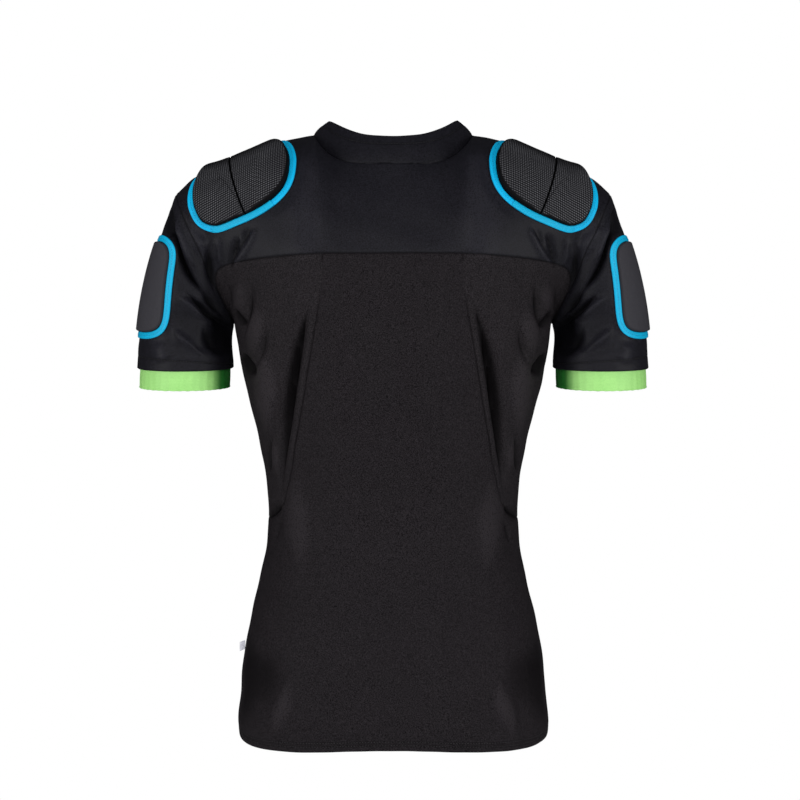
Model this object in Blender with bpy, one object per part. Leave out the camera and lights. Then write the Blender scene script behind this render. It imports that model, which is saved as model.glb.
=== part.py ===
"""Padded body armour top in its worn form, hollow and with no wearer.

The cloth is one continuous skin, worked out from sections of a general figure and from the lines of
the shoulders, neck and sleeves. It is cut along its seams into panels, and each panel is a thin wall.
Foam pads with binding tapes lie on the shoulders and upper arms, and elastic cuffs sit in the sleeves.

Frame: metres, +Z up. The wearer's back faces -Y and the wearer's right arm is at +X. The origin is on
the centre line at the level of the neck points, where the shoulders carry the garment.
"""

import math
from collections import namedtuple

import bmesh
import bpy
import numpy as np
from mathutils import Vector

BACK = -1
FRONT = 1
LEFT = -1
RIGHT = 1
SIDE_NAMES = {LEFT: "left", RIGHT: "right"}

# Walls and clearances
CLOTH_THICKNESS = 0.0015
HEM_THICKNESS = 0.0026
COLLAR_THICKNESS = 0.0022
SEAM_GAP = 0.0003
PIECE_LIFT = 0.0009

# Body sections from the hem up to the underarm level
TorsoSection = namedtuple("TorsoSection", "height half_width back_depth front_depth squareness")
TORSO_SECTIONS = (
    TorsoSection(-0.6950, 0.1735, 0.1150, 0.1090, 3.0),
    TorsoSection(-0.6650, 0.1775, 0.1185, 0.1105, 3.0),
    TorsoSection(-0.6300, 0.1740, 0.1200, 0.1115, 2.9),
    TorsoSection(-0.5980, 0.1720, 0.1190, 0.1110, 2.8),
    TorsoSection(-0.5520, 0.1640, 0.1130, 0.1070, 2.7),
    TorsoSection(-0.5060, 0.1535, 0.1030, 0.1010, 2.6),
    TorsoSection(-0.4600, 0.1445, 0.0950, 0.0980, 2.5),
    TorsoSection(-0.4140, 0.1432, 0.0940, 0.0990, 2.4),
    TorsoSection(-0.3450, 0.1535, 0.1030, 0.1060, 2.4),
    TorsoSection(-0.2760, 0.1705, 0.1120, 0.1140, 2.5),
    TorsoSection(-0.2116, 0.1817, 0.1170, 0.1170, 2.5),
)
UNDERARM_HEIGHT = TORSO_SECTIONS[-1].height
HEM_SIDE_HEIGHT = -0.668
HEM_DROP = {BACK: 0.0205, FRONT: 0.0140}
HEM_CURVE = 3.0
HEM_MIDDLE_LIFT = 0.0060
HEM_MIDDLE_SPREAD = 0.35
HEM_BAND = 0.010
HEM_LIP = 0.0006
HEM_LIP_EASE = 0.2

# Neck opening, where the collar is sewn on
NECK_HALF_WIDTH = 0.0914
NECK_DEPTH = {BACK: 0.074, FRONT: 0.080}
NECK_SIDE_HEIGHT = 0.004
NECK_MIDDLE_HEIGHT = {BACK: -0.035, FRONT: -0.072}
NECK_SWEEP = {BACK: 4.4, FRONT: 2.0}
NECK_SHARE = 0.32
NECK_TO_SHOULDER = (0.02, 0.30)

# Collar top edge
COLLAR_HALF_WIDTH = 0.0742
COLLAR_DEPTH = {BACK: 0.060, FRONT: 0.066}
COLLAR_SIDE_HEIGHT = 0.0213
COLLAR_MIDDLE_HEIGHT = {BACK: -0.003, FRONT: -0.046}
COLLAR_SWEEP = {BACK: 2.5, FRONT: 2.0}
COLLAR_BOW = 0.0025

# Shoulder line from the neck point to the sleeve, seen from behind
RidgePoint = namedtuple("RidgePoint", "from_centre height")
SHOULDER_RIDGE = (
    RidgePoint(0.0914, 0.0040),
    RidgePoint(0.1180, 0.0000),
    RidgePoint(0.1640, -0.0190),
    RidgePoint(0.2040, -0.0350),
    RidgePoint(0.2306, -0.0465),
    RidgePoint(0.2478, -0.0640),
)
ARMHOLE_DEPTH = {BACK: 0.068, FRONT: 0.062}
ARMHOLE_SPREAD = 2.2
ARMHOLE_ROUNDNESS = 0.7
ARMHOLE_FADE = 1.8
ARMHOLE_EDGE = 4.0
SHOULDER_FULLNESS = 0.28
UPPER_BACK_LEAN = 2.2

# Yoke seam across the back, and its plain seam on the front
YOKE_SEAM_HEIGHT = -0.1373
YOKE_SEAM_SAG = 0.0170
YOKE_SEAM_SAG_CURVE = 2.2
YOKE_SEAM_CORNER = 0.0240
YOKE_SEAM_CORNER_CURVE = 24.0
YOKE_SEAM_FIRST_RISE = 0.25
YOKE_SEAM_PASSES = 4
YOKE_FRONT_SHARE = {"neck": 0.80, "armhole": 0.30}
YOKE_FRONT_NECK_COLUMNS = 2

# Curved seam between the back panel and each side panel, ending at the side seam
SeamPoint = namedtuple("SeamPoint", "height from_centre")
BACK_SEAM = (
    SeamPoint(-0.4081, 0.1216),
    SeamPoint(-0.3760, 0.1145),
    SeamPoint(-0.3377, 0.1079),
    SeamPoint(-0.2935, 0.0992),
    SeamPoint(-0.2462, 0.0907),
    SeamPoint(-0.2116, 0.0845),
)
BACK_SEAM_CORNER_HEIGHT = BACK_SEAM[0].height
BACK_SEAM_TIP_HEIGHT = -0.432
BACK_SEAM_DIP = 0.062

# Sleeves and their elastic cuffs
SLEEVE_END_CENTRE = 0.2386
SLEEVE_END_HEIGHT = -0.2610
SLEEVE_END_HALF_WIDTH = 0.0550
SLEEVE_END_HALF_DEPTH = 0.0570
SLEEVE_END_TILT = 0.0050
SLEEVE_START_SLOPE = math.radians(68.0)
SLEEVE_END_SLOPE = math.radians(88.0)
SLEEVE_HEM = 0.015
CUFF_INSET = 0.0032
CUFF_TUCK = 0.006
CUFF_DROP = 0.023
CUFF_THICKNESS = 0.0018

# Largest folds: a trough or ridge along a straight line, placed on the right half and mirrored.
# They start a share of a pad's reach outside its tape, and fade towards a sleeve's two ends.
FOLDS_START_AT_REACH = 1.10
FOLDS_FULL_AT_REACH = 1.35
SLEEVE_FOLD_FADE = 0.12
SLEEVE_FOLDS_END = 0.92
Fold = namedtuple("Fold", "sheet start_x start_z end_x end_z half_width height")
BODY_FOLDS = (
    Fold(BACK, 0.0870, -0.1900, 0.1080, -0.2659, 0.0095, -0.0050),
    Fold(BACK, 0.1080, -0.2659, 0.1230, -0.3622, 0.0095, -0.0065),
    Fold(BACK, 0.1270, -0.2300, 0.1390, -0.3300, 0.0130, 0.0040),
    Fold(BACK, 0.1547, -0.1650, 0.1676, -0.2396, 0.0080, -0.0040),
    Fold(BACK, 0.1480, -0.2120, 0.1560, -0.2480, 0.0100, 0.0040),
    Fold(BACK, 0.1683, -0.2460, 0.1490, -0.2660, 0.0080, -0.0035),
    Fold(BACK, 0.1718, -0.1180, 0.1837, -0.1500, 0.0080, -0.0035),
    Fold(BACK, 0.1500, -0.1150, 0.1720, -0.1464, 0.0090, 0.0025),
    Fold(BACK, 0.1158, -0.5953, 0.1372, -0.6640, 0.0160, 0.0030),
    Fold(BACK, 0.1444, -0.5868, 0.1562, -0.6500, 0.0160, -0.0030),
    Fold(FRONT, 0.1100, -0.2200, 0.1320, -0.3500, 0.0140, -0.0045),
    Fold(FRONT, 0.1580, -0.1700, 0.1400, -0.2400, 0.0110, -0.0035),
    Fold(FRONT, 0.0300, -0.4300, 0.1150, -0.4600, 0.0150, -0.0030),
)
SLEEVE_FOLDS = (
    Fold(BACK, 0.2440, -0.0980, 0.2370, -0.1380, 0.0090, -0.0050),
    Fold(BACK, 0.2370, -0.1380, 0.2158, -0.1667, 0.0090, -0.0050),
    Fold(BACK, 0.2480, -0.1720, 0.2051, -0.2012, 0.0090, 0.0035),
    Fold(BACK, 0.2440, -0.1960, 0.2100, -0.2200, 0.0100, -0.0025),
    Fold(BACK, 0.2350, -0.2270, 0.1990, -0.2500, 0.0090, -0.0035),
    Fold(FRONT, 0.2400, -0.1200, 0.2150, -0.1650, 0.0110, -0.0045),
    Fold(FRONT, 0.2480, -0.1850, 0.2080, -0.2150, 0.0100, -0.0035),
)

# Shoulder pads, in shares of the shoulder: along the ridge, and down from it on each side
PadShape = namedtuple(
    "PadShape",
    "centre_p centre_q reach_p reach_low reach_high square_low square_high lean taper corner_rise",
)
SHOULDER_PAD = PadShape(0.675, -0.390, 0.289, 0.226, 0.520, 3.1, 1.5, -0.06, 0.0, 0.0)
PAD_GROOVE_AT_RIDGE = 0.721
PAD_GROOVE_LEAN = -0.535
PAD_GROOVE_CURVE = 3.2
PAD_GROOVE_WIDTH = 0.0018
SHOULDER_PAD_THICKNESS = 0.0070

# The stiff foam stands off the rounding outer end of the shoulder
PAD_END_LIFT = 0.0045
PAD_END_FROM = 0.78
PAD_END_EASE = 0.08
PAD_END_REACH = 0.30
PAD_END_REACH_EASE = 0.20

# Upper-arm pads, in shares round the sleeve and along it
BICEP_PAD = PadShape(0.500, 0.515, 0.2205, 0.243, 0.315, 8.0, 4.2, 0.0, 0.18, 0.44)
BICEP_PAD_THICKNESS = 0.0042

BINDING_WIDTH = 0.0075
BINDING_THICKNESS = 0.0012
PAD_GAP = 0.0004

# Edge of a foam pad: share of its outline, and share of its thickness
PadRing = namedtuple("PadRing", "share height")
PAD_EDGE = (
    PadRing(1.00, 0.45),
    PadRing(0.97, 0.85),
    PadRing(0.91, 1.00),
    PadRing(0.58, 1.00),
    PadRing(0.26, 1.00),
)
PAD_UNDERSIDE_SHARES = (0.20, 0.40, 0.60, 0.80, 1.00)

# Side label, in the seam at the wearer's left
LABEL_HEIGHT = -0.580
LABEL_LENGTH = 0.009
LABEL_WIDTH = 0.006
LABEL_THICKNESS = 0.0012
LABEL_FOLD_SHARE = 0.4

# Mesh density
BACK_COLUMNS = 14
SIDE_COLUMNS = 8
NECK_FRONT_COLUMNS = 10
ROWS_BELOW_SIDE_PANEL = 8
ROWS_BESIDE_SIDE_PANEL = 8
ROWS_TO_YOKE = 4
YOKE_ROWS = 9
FRONT_YOKE_ROWS = 5
FRONT_ROWS = 5
SLEEVE_ROWS = 12
COLLAR_ROWS = 4
OUTLINE_POINTS = 200
BINDING_POINTS = 48
PAD_EDGE_POINTS = 20
GROOVE_POINTS = 13

PieceFinish = namedtuple("PieceFinish", "colour roughness")
BODY_CLOTH = PieceFinish((0.018, 0.016, 0.018), 0.85)
YOKE_CLOTH = PieceFinish((0.014, 0.014, 0.018), 0.65)
PAD_CLOTH = PieceFinish((0.035, 0.035, 0.040), 0.80)
BINDING_TAPE = PieceFinish((0.010, 0.400, 0.780), 0.60)
CUFF_ELASTIC = PieceFinish((0.330, 0.780, 0.200), 0.60)
LABEL_TAPE = PieceFinish((0.600, 0.600, 0.650), 0.70)

SLOPE_STEP = 1.0e-4
WELD_DISTANCE = 1.0e-5
SHARPEST_FOLD = 0.02
SHARP_EDGE = math.radians(50.0)
SIDE_SEAM_POSITION = 2.0
HEM_ROW_STEP = 1.2


def smoothstep(share):
    """Ease from 0 to 1 over the range 0 to 1."""
    share = np.clip(share, 0.0, 1.0)
    return share * share * (3.0 - 2.0 * share)


def blend(first, last, share):
    """Straight mix of two values."""
    return first + (last - first) * share


def hermite(start, end, start_slope, end_slope, share):
    """Cubic from start to end with given slopes."""
    square = share * share
    cube = square * share
    rise = 3.0 * square - 2.0 * cube
    return (
        start * (1.0 - rise)
        + end * rise
        + start_slope * (cube - 2.0 * square + share)
        + end_slope * (cube - square)
    )


def smooth_column(table, name, at):
    """Read a column of a table at places in its first column, on a smooth curve through the rows."""
    places = np.array([row[0] for row in table])
    values = np.array([getattr(row, name) for row in table])
    slopes = np.gradient(values, places)
    at = np.clip(at, places[0], places[-1])
    low = np.clip(np.searchsorted(places, at) - 1, 0, len(places) - 2)
    span = places[low + 1] - places[low]
    share = (at - places[low]) / span
    return hermite(values[low], values[low + 1], slopes[low] * span, slopes[low + 1] * span, share)


def points(x, y, z):
    """Stack three coordinates into points."""
    return np.stack(np.broadcast_arrays(x, y, z), axis=-1)


def unit(vectors):
    """Scale vectors to length one."""
    lengths = np.linalg.norm(vectors, axis=-1, keepdims=True)
    return vectors / np.maximum(lengths, 1.0e-12)


def body_section(sheet, u, height):
    """Point of the body at a height; u runs from -1 to 1 between the side seams."""
    squareness = smooth_column(TORSO_SECTIONS, "squareness", height)
    depth = smooth_column(TORSO_SECTIONS, "back_depth" if sheet == BACK else "front_depth", height)
    half_width = smooth_column(TORSO_SECTIONS, "half_width", height)
    across = np.sin(u * math.pi / 2.0)
    out = np.cos(u * math.pi / 2.0)
    reach = (np.abs(across) ** squareness + np.abs(out) ** squareness) ** (-1.0 / squareness)
    return points(half_width * reach * across, sheet * depth * reach * out, height)


def closed_neck(sheet, angle, half_width, depth, side_height, middle_height, sweep):
    """Half of a ring round the neck; the angle is 0 at the middle and a right angle at the side."""
    share = np.abs(np.sin(angle)) ** sweep
    return points(
        half_width * np.sin(angle),
        sheet * depth * np.cos(angle),
        blend(middle_height, side_height, share),
    )


def neckline(sheet, angle):
    """Seam where the collar meets the yoke and the front."""
    return closed_neck(
        sheet,
        angle,
        NECK_HALF_WIDTH,
        NECK_DEPTH[sheet],
        NECK_SIDE_HEIGHT,
        NECK_MIDDLE_HEIGHT[sheet],
        NECK_SWEEP[sheet],
    )


def collar_point(sheet, angle, share):
    """Point of the collar, from the neckline at share 0 to its top edge at share 1."""
    base = neckline(sheet, angle)
    top = closed_neck(
        sheet,
        angle,
        COLLAR_HALF_WIDTH,
        COLLAR_DEPTH[sheet],
        COLLAR_SIDE_HEIGHT,
        COLLAR_MIDDLE_HEIGHT[sheet],
        COLLAR_SWEEP[sheet],
    )
    outward = points(np.sin(angle), sheet * np.cos(angle), 0.0)
    share = np.asarray(share)[..., None]
    return blend(base, top, share) + outward * COLLAR_BOW * np.sin(math.pi * share)


def top_edge(sheet, u):
    """Neckline in the middle, then the shoulder ridge out to the sleeve."""
    side = np.sign(u)
    neck = neckline(sheet, np.clip(u / NECK_SHARE, -1.0, 1.0) * math.pi / 2.0)
    along = np.clip((np.abs(u) - NECK_SHARE) / (1.0 - NECK_SHARE), 0.0, 1.0)
    from_centre = blend(SHOULDER_RIDGE[0].from_centre, SHOULDER_RIDGE[-1].from_centre, along)
    ridge = points(side * from_centre, 0.0, smooth_column(SHOULDER_RIDGE, "height", from_centre))
    return np.where((np.abs(u) <= NECK_SHARE)[..., None], neck, ridge)


def shoulder_section(sheet, u, rise):
    """Point above the underarm level; rise runs from 0 there to 1 at the top edge."""
    low = body_section(sheet, u, np.full_like(u, UNDERARM_HEIGHT))
    top = top_edge(sheet, u)
    turn = rise * math.pi / 2.0
    lift = np.sin(turn)
    x = blend(low[..., 0], top[..., 0], lift)
    z = blend(low[..., 2], top[..., 2], lift)
    over_neck = 1.0 - lift**UPPER_BACK_LEAN
    over_shoulder = np.cos(turn) * (1.0 + SHOULDER_FULLNESS * lift**2)
    inner, outer = NECK_TO_SHOULDER
    shoulder = smoothstep((np.abs(u) - inner) / (outer - inner))
    y = top[..., 1] + (low[..., 1] - top[..., 1]) * blend(over_neck, over_shoulder, shoulder)
    spread = np.abs(u) ** ARMHOLE_SPREAD
    roundness = blend(ARMHOLE_FADE, ARMHOLE_ROUNDNESS, np.abs(u) ** ARMHOLE_EDGE)
    swell = np.clip(np.sin(2.0 * turn), 0.0, 1.0) ** roundness
    return points(x, y + sheet * ARMHOLE_DEPTH[sheet] * spread * swell, z)


def hem_height(sheet, u):
    """Height of the lower edge."""
    drop = HEM_DROP[sheet] * (1.0 - np.abs(u) ** HEM_CURVE)
    return HEM_SIDE_HEIGHT - drop + HEM_MIDDLE_LIFT * np.exp(-((u / HEM_MIDDLE_SPREAD) ** 2))


def smooth_body(sheet, u, v):
    """Body with no folds: v is 0 at the hem, 1 at the underarm level and 2 at the top edge."""
    hem = hem_height(sheet, u)
    below = body_section(sheet, u, blend(hem, UNDERARM_HEIGHT, np.clip(v, 0.0, 1.0)))
    above = shoulder_section(sheet, u, np.clip(v - 1.0, 0.0, 1.0))
    return np.where((v <= 1.0)[..., None], below, above)


def chart_slopes(chart, p, q, p_range, q_range):
    """Slopes of a chart along its two coordinates, kept inside its ranges."""
    p_low = np.maximum(p - SLOPE_STEP, p_range[0])
    p_high = np.minimum(p + SLOPE_STEP, p_range[1])
    q_low = np.maximum(q - SLOPE_STEP, q_range[0])
    q_high = np.minimum(q + SLOPE_STEP, q_range[1])
    along_p = (chart(p_high, q) - chart(p_low, q)) / (p_high - p_low)[..., None]
    along_q = (chart(p, q_high) - chart(p, q_low)) / (q_high - q_low)[..., None]
    return along_p, along_q


def fold_height(folds, sheet, place, normal):
    """Height of the folds at a place on one sheet, fading where the cloth turns to the side."""
    across = np.abs(place[..., 0])
    height = np.zeros(across.shape)
    for fold in folds:
        if fold.sheet != sheet:
            continue
        run_x = fold.end_x - fold.start_x
        run_z = fold.end_z - fold.start_z
        reach_x = across - fold.start_x
        reach_z = place[..., 2] - fold.start_z
        along = np.clip((reach_x * run_x + reach_z * run_z) / (run_x**2 + run_z**2), 0.0, 1.0)
        apart = np.hypot(reach_x - along * run_x, reach_z - along * run_z)
        height += fold.height * np.exp(-((apart / fold.half_width) ** 2))
    return height * np.clip(sheet * normal[..., 1], 0.0, 1.0)


def beside_pad(shape, p, q):
    """0 under a pad and its tape, easing to 1 a little way outside them."""
    along = q - shape.centre_q - shape.lean * (p - shape.centre_p)
    low = along < 0.0
    squareness = np.where(low, shape.square_low, shape.square_high)
    across = np.abs(p - shape.centre_p) / (shape.reach_p * (1.0 - shape.taper * along))
    raised = shape.reach_low * (1.0 + shape.corner_rise * across)
    down = np.abs(along) / np.where(low, raised, shape.reach_high)
    reach = (across**squareness + down**squareness) ** (1.0 / squareness)
    return smoothstep((reach - FOLDS_START_AT_REACH) / (FOLDS_FULL_AT_REACH - FOLDS_START_AT_REACH))


def body_point(sheet, u, v):
    """Outer face of the body cloth with its folds and its hem."""
    u, v = np.broadcast_arrays(np.asarray(u, float), np.asarray(v, float))

    def chart(p, q):
        return smooth_body(sheet, p, q)

    place = chart(u, v)
    along_u, along_v = chart_slopes(chart, u, v, (-1.0, 1.0), (0.0, 2.0))
    normal = unit(np.cross(along_u, along_v)) * -sheet
    hem_share = HEM_BAND / (UNDERARM_HEIGHT - HEM_SIDE_HEIGHT)
    lip = HEM_LIP * (1.0 - smoothstep((v / hem_share - 1.0) / HEM_LIP_EASE))
    height = fold_height(BODY_FOLDS, sheet, place, normal) * beside_pad(SHOULDER_PAD, np.abs(u), 2.0 - v)
    return place + normal * (height + lip)[..., None]


def sleeve_end(side, turn, inset=0.0, drop=0.0):
    """Ring at the sleeve's lower edge; turn is 0 at the body, then passes the back, outside and front."""
    angle = turn * 2.0 * math.pi
    half_width = SLEEVE_END_HALF_WIDTH - inset
    half_depth = SLEEVE_END_HALF_DEPTH - inset
    x = side * (SLEEVE_END_CENTRE - half_width * np.cos(angle) + drop * math.cos(SLEEVE_END_SLOPE))
    z = SLEEVE_END_HEIGHT - SLEEVE_END_TILT * np.sin(angle) - drop * math.sin(SLEEVE_END_SLOPE)
    return points(x, -half_depth * np.sin(angle), z)


def armhole_point(side, turn):
    """Armhole seam, up the back and down the front."""
    rise = 1.0 - np.abs(1.0 - 2.0 * turn)
    edge = np.full_like(turn, float(side))
    back = body_point(BACK, edge, 1.0 + rise)
    front = body_point(FRONT, edge, 1.0 + rise)
    return np.where((turn <= 0.5)[..., None], back, front)


def smooth_sleeve(side, turn, along):
    """Sleeve with no folds, from the armhole at 0 to its lower edge at 1."""
    start = armhole_point(side, turn)
    end = sleeve_end(side, turn)
    length = np.linalg.norm(end - start, axis=-1, keepdims=True)
    leave = length * np.array([side * math.cos(SLEEVE_START_SLOPE), 0.0, -math.sin(SLEEVE_START_SLOPE)])
    arrive = length * np.array([side * math.cos(SLEEVE_END_SLOPE), 0.0, -math.sin(SLEEVE_END_SLOPE)])
    return hermite(start, end, leave, arrive, along[..., None])


def sleeve_point(side, turn, along):
    """Outer face of the sleeve with its folds."""
    turn, along = np.broadcast_arrays(np.asarray(turn, float), np.asarray(along, float))

    def chart(p, q):
        return smooth_sleeve(side, p, q)

    place = chart(turn, along)
    along_turn, along_length = chart_slopes(chart, turn, along, (0.0, 1.0), (0.0, 1.0))
    normal = unit(np.cross(along_turn, along_length)) * -side
    fade = smoothstep(along / SLEEVE_FOLD_FADE) * smoothstep((SLEEVE_FOLDS_END - along) / SLEEVE_FOLD_FADE)
    height = sum(fold_height(SLEEVE_FOLDS, sheet, place, normal) for sheet in (BACK, FRONT))
    return place + normal * (height * fade * beside_pad(BICEP_PAD, turn, along))[..., None]


def shoulder_chart(side):
    """Chart of one shoulder: p along the ridge, q from -1 down the back to 1 down the front."""

    def chart(p, q):
        u = side * np.clip(p, 0.0, 1.0)
        v = 2.0 - np.clip(np.abs(q), 0.0, 1.0)
        back = body_point(BACK, u, v)
        front = body_point(FRONT, u, v)
        return np.where((q <= 0.0)[..., None], back, front)

    return chart


def sleeve_chart(side):
    """Chart of one sleeve: p round it, q along it."""

    def chart(p, q):
        return sleeve_point(side, np.clip(p, 0.0, 1.0), np.clip(q, 0.0, 1.0))

    return chart


def chart_frame(chart, p, q, outward):
    """Points, slopes and outward normals of a chart."""
    limits = (-1.0, 2.0)
    along_p, along_q = chart_slopes(chart, p, q, limits, limits)
    return chart(p, q), along_p, along_q, unit(np.cross(along_p, along_q)) * outward


def shift_outline(chart, p, q, distance, outward):
    """Move a closed outline sideways on its chart; a positive distance moves it inward."""
    place, along_p, along_q, normal = chart_frame(chart, p, q, outward)
    tangent = unit(np.roll(place, -1, axis=0) - np.roll(place, 1, axis=0))
    sideways = np.cross(normal, tangent)
    centre = place.mean(axis=0)
    inward = np.sign(np.mean(np.sum(sideways * (centre - place), axis=-1)))
    move = sideways * inward * distance
    pp = np.sum(along_p * along_p, axis=-1)
    pq = np.sum(along_p * along_q, axis=-1)
    qq = np.sum(along_q * along_q, axis=-1)
    move_p = np.sum(move * along_p, axis=-1)
    move_q = np.sum(move * along_q, axis=-1)
    area = pp * qq - pq * pq
    return p + (move_p * qq - move_q * pq) / area, q + (move_q * pp - move_p * pq) / area


def pad_outline(shape, count):
    """Closed outline of a pad with its tape, in chart coordinates."""
    angle = np.linspace(0.0, 2.0 * math.pi, count, endpoint=False)
    across = np.cos(angle)
    down = np.sin(angle)
    squareness = np.where(down < 0.0, shape.square_low, shape.square_high)
    reach = (np.abs(across) ** squareness + np.abs(down) ** squareness) ** (-1.0 / squareness)
    raised = shape.reach_low * (1.0 + shape.corner_rise * reach * np.abs(across))
    along = np.where(down < 0.0, raised, shape.reach_high) * reach * down
    sideways = shape.reach_p * (1.0 - shape.taper * along) * reach * across
    return shape.centre_p + sideways, shape.centre_q + along + shape.lean * sideways


def resample(chart, p, q, count, closed):
    """Spread a number of points evenly along a line on a chart."""
    if closed:
        p = np.append(p, p[0])
        q = np.append(q, q[0])
    lengths = np.linalg.norm(np.diff(chart(p, q), axis=0), axis=-1)
    travel = np.concatenate([[0.0], np.cumsum(lengths)])
    wanted = np.linspace(0.0, travel[-1], count, endpoint=not closed)
    return np.interp(wanted, travel, p), np.interp(wanted, travel, q)


def groove_line(q):
    """Place along the ridge of the groove between the two shoulder pads."""
    return PAD_GROOVE_AT_RIDGE + PAD_GROOVE_LEAN * np.abs(q) ** PAD_GROOVE_CURVE


def half_outline(chart, p, q, part):
    """Outline of the shoulder pad on one side of the groove; part is -1 by the neck and 1 by the arm."""
    span = np.linalg.norm(chart(np.array([1.0]), np.array([0.0])) - chart(np.array([0.0]), np.array([0.0])))
    half_gap = 0.5 * PAD_GROOVE_WIDTH / span
    past = part * (p - groove_line(q)) - half_gap
    start = int(np.argmax((past > 0.0) & (np.roll(past, 1) <= 0.0)))
    p = np.roll(p, -start)
    q = np.roll(q, -start)
    keep = int(np.argmin(part * (p - groove_line(q)) - half_gap > 0.0))
    edge_p, edge_q = resample(chart, p[:keep], q[:keep], PAD_EDGE_POINTS, closed=False)
    groove_q = np.linspace(edge_q[-1], edge_q[0], OUTLINE_POINTS)
    groove = resample(chart, groove_line(groove_q) + part * half_gap, groove_q, GROOVE_POINTS, closed=False)
    return np.append(edge_p, groove[0][1:-1]), np.append(edge_q, groove[1][1:-1])


def face_loop(body, rings):
    """Join neighbouring rings of vertices with quads."""
    for ring, following in zip(rings, rings[1:]):
        for first, second, third, fourth in zip(
            ring, ring[1:] + ring[:1], following[1:] + following[:1], following
        ):
            body.faces.new((first, second, third, fourth))


def finish_piece(name, body, finish):
    """Turn a bmesh into a named object with its own material."""
    bmesh.ops.recalc_face_normals(body, faces=body.faces)
    mesh = bpy.data.meshes.new(name)
    body.to_mesh(mesh)
    body.free()
    mesh.shade_smooth()
    mesh.set_sharp_from_angle(angle=SHARP_EDGE)
    material = bpy.data.materials.new(name)
    material.use_nodes = True
    shader = material.node_tree.nodes["Principled BSDF"]
    shader.inputs["Base Color"].default_value = (*finish.colour, 1.0)
    shader.inputs["Roughness"].default_value = finish.roughness
    shader.inputs["Metallic"].default_value = 0.0
    mesh.materials.append(material)
    piece = bpy.data.objects.new(name, mesh)
    bpy.context.scene.collection.objects.link(piece)
    return piece


def at_shoulder_end(p, q):
    """1 at the outer end of a shoulder's ridge, easing to 0 inward and down its slopes."""
    outer = smoothstep((p - PAD_END_FROM) / PAD_END_EASE)
    return outer * smoothstep((PAD_END_REACH - np.abs(q)) / PAD_END_REACH_EASE)


def add_pad(name, chart, p, q, outward, thickness, end_lift=0.0):
    """Foam pad with eased edges on a chart, inside a closed outline."""
    centre_p = float(np.mean(p))
    centre_q = float(np.mean(q))
    body = bmesh.new()

    def raise_points(at_p, at_q, height):
        place, _, _, normal = chart_frame(chart, at_p, at_q, outward)
        top = thickness + end_lift * at_shoulder_end(at_p, at_q)
        return [body.verts.new(point) for point in place + normal * (PIECE_LIFT + top * height)[:, None]]

    def ring_of(share, height):
        return raise_points(centre_p + (p - centre_p) * share, centre_q + (q - centre_q) * share, height)

    rings = [ring_of(share, 0.0) for share in PAD_UNDERSIDE_SHARES]
    rings += [ring_of(ring.share, ring.height) for ring in PAD_EDGE]
    face_loop(body, rings)
    for ring, height in ((rings[0], 0.0), (rings[-1], 1.0)):
        middle = raise_points(np.array([centre_p]), np.array([centre_q]), height)[0]
        for first, second in zip(ring, ring[1:] + ring[:1]):
            body.faces.new((first, second, middle))
    return finish_piece(name, body, PAD_CLOTH)


def add_binding(name, chart, outer, inner, outward):
    """Flat tape between two outlines on a chart."""
    body = bmesh.new()
    rings = []
    for (p, q), height in (
        (outer, PIECE_LIFT),
        (outer, PIECE_LIFT + BINDING_THICKNESS),
        (inner, PIECE_LIFT + BINDING_THICKNESS),
        (inner, PIECE_LIFT),
    ):
        place, _, _, normal = chart_frame(chart, p, q, outward)
        rings.append([body.verts.new(point) for point in place + normal * height])
    face_loop(body, rings + rings[:1])
    return finish_piece(name, body, BINDING_TAPE)


def add_shoulder_set(side):
    """Two shoulder pads and the tape round them."""
    chart = shoulder_chart(side)
    outward = side
    outline = pad_outline(SHOULDER_PAD, OUTLINE_POINTS)
    outer = resample(chart, *outline, BINDING_POINTS, closed=True)
    inner = shift_outline(chart, *outer, BINDING_WIDTH, outward)
    word = SIDE_NAMES[side]
    add_binding(f"shoulder_binding_{word}", chart, outer, inner, outward)
    fine = resample(chart, *outline, OUTLINE_POINTS, closed=True)
    pad_p, pad_q = shift_outline(chart, *fine, BINDING_WIDTH + PAD_GAP, outward)
    for part, place in ((-1, "inner"), (1, "outer")):
        half = half_outline(chart, pad_p, pad_q, part)
        name = f"shoulder_pad_{place}_{word}"
        add_pad(name, chart, *half, outward, SHOULDER_PAD_THICKNESS, PAD_END_LIFT)


def add_bicep_set(side):
    """Upper-arm pad and the tape round it."""
    chart = sleeve_chart(side)
    outward = -side
    outline = pad_outline(BICEP_PAD, OUTLINE_POINTS)
    outer = resample(chart, *outline, BINDING_POINTS, closed=True)
    inner = shift_outline(chart, *outer, BINDING_WIDTH, outward)
    word = SIDE_NAMES[side]
    add_binding(f"bicep_binding_{word}", chart, outer, inner, outward)
    pad = shift_outline(chart, *outer, BINDING_WIDTH + PAD_GAP, outward)
    add_pad(f"bicep_pad_{word}", chart, *pad, outward, BICEP_PAD_THICKNESS)


def add_cuff(side, turns):
    """Elastic band that starts inside the sleeve hem."""
    body = bmesh.new()
    rings = []
    for inset, drop in (
        (CUFF_INSET, -CUFF_TUCK),
        (CUFF_INSET, 0.0),
        (CUFF_INSET, CUFF_DROP),
        (CUFF_INSET + CUFF_THICKNESS, CUFF_DROP),
        (CUFF_INSET + CUFF_THICKNESS, -CUFF_TUCK),
    ):
        ring = sleeve_end(side, turns, inset, drop)
        rings.append([body.verts.new(point) for point in ring])
    face_loop(body, rings + rings[:1])
    return finish_piece(f"cuff_{SIDE_NAMES[side]}", body, CUFF_ELASTIC)


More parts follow.
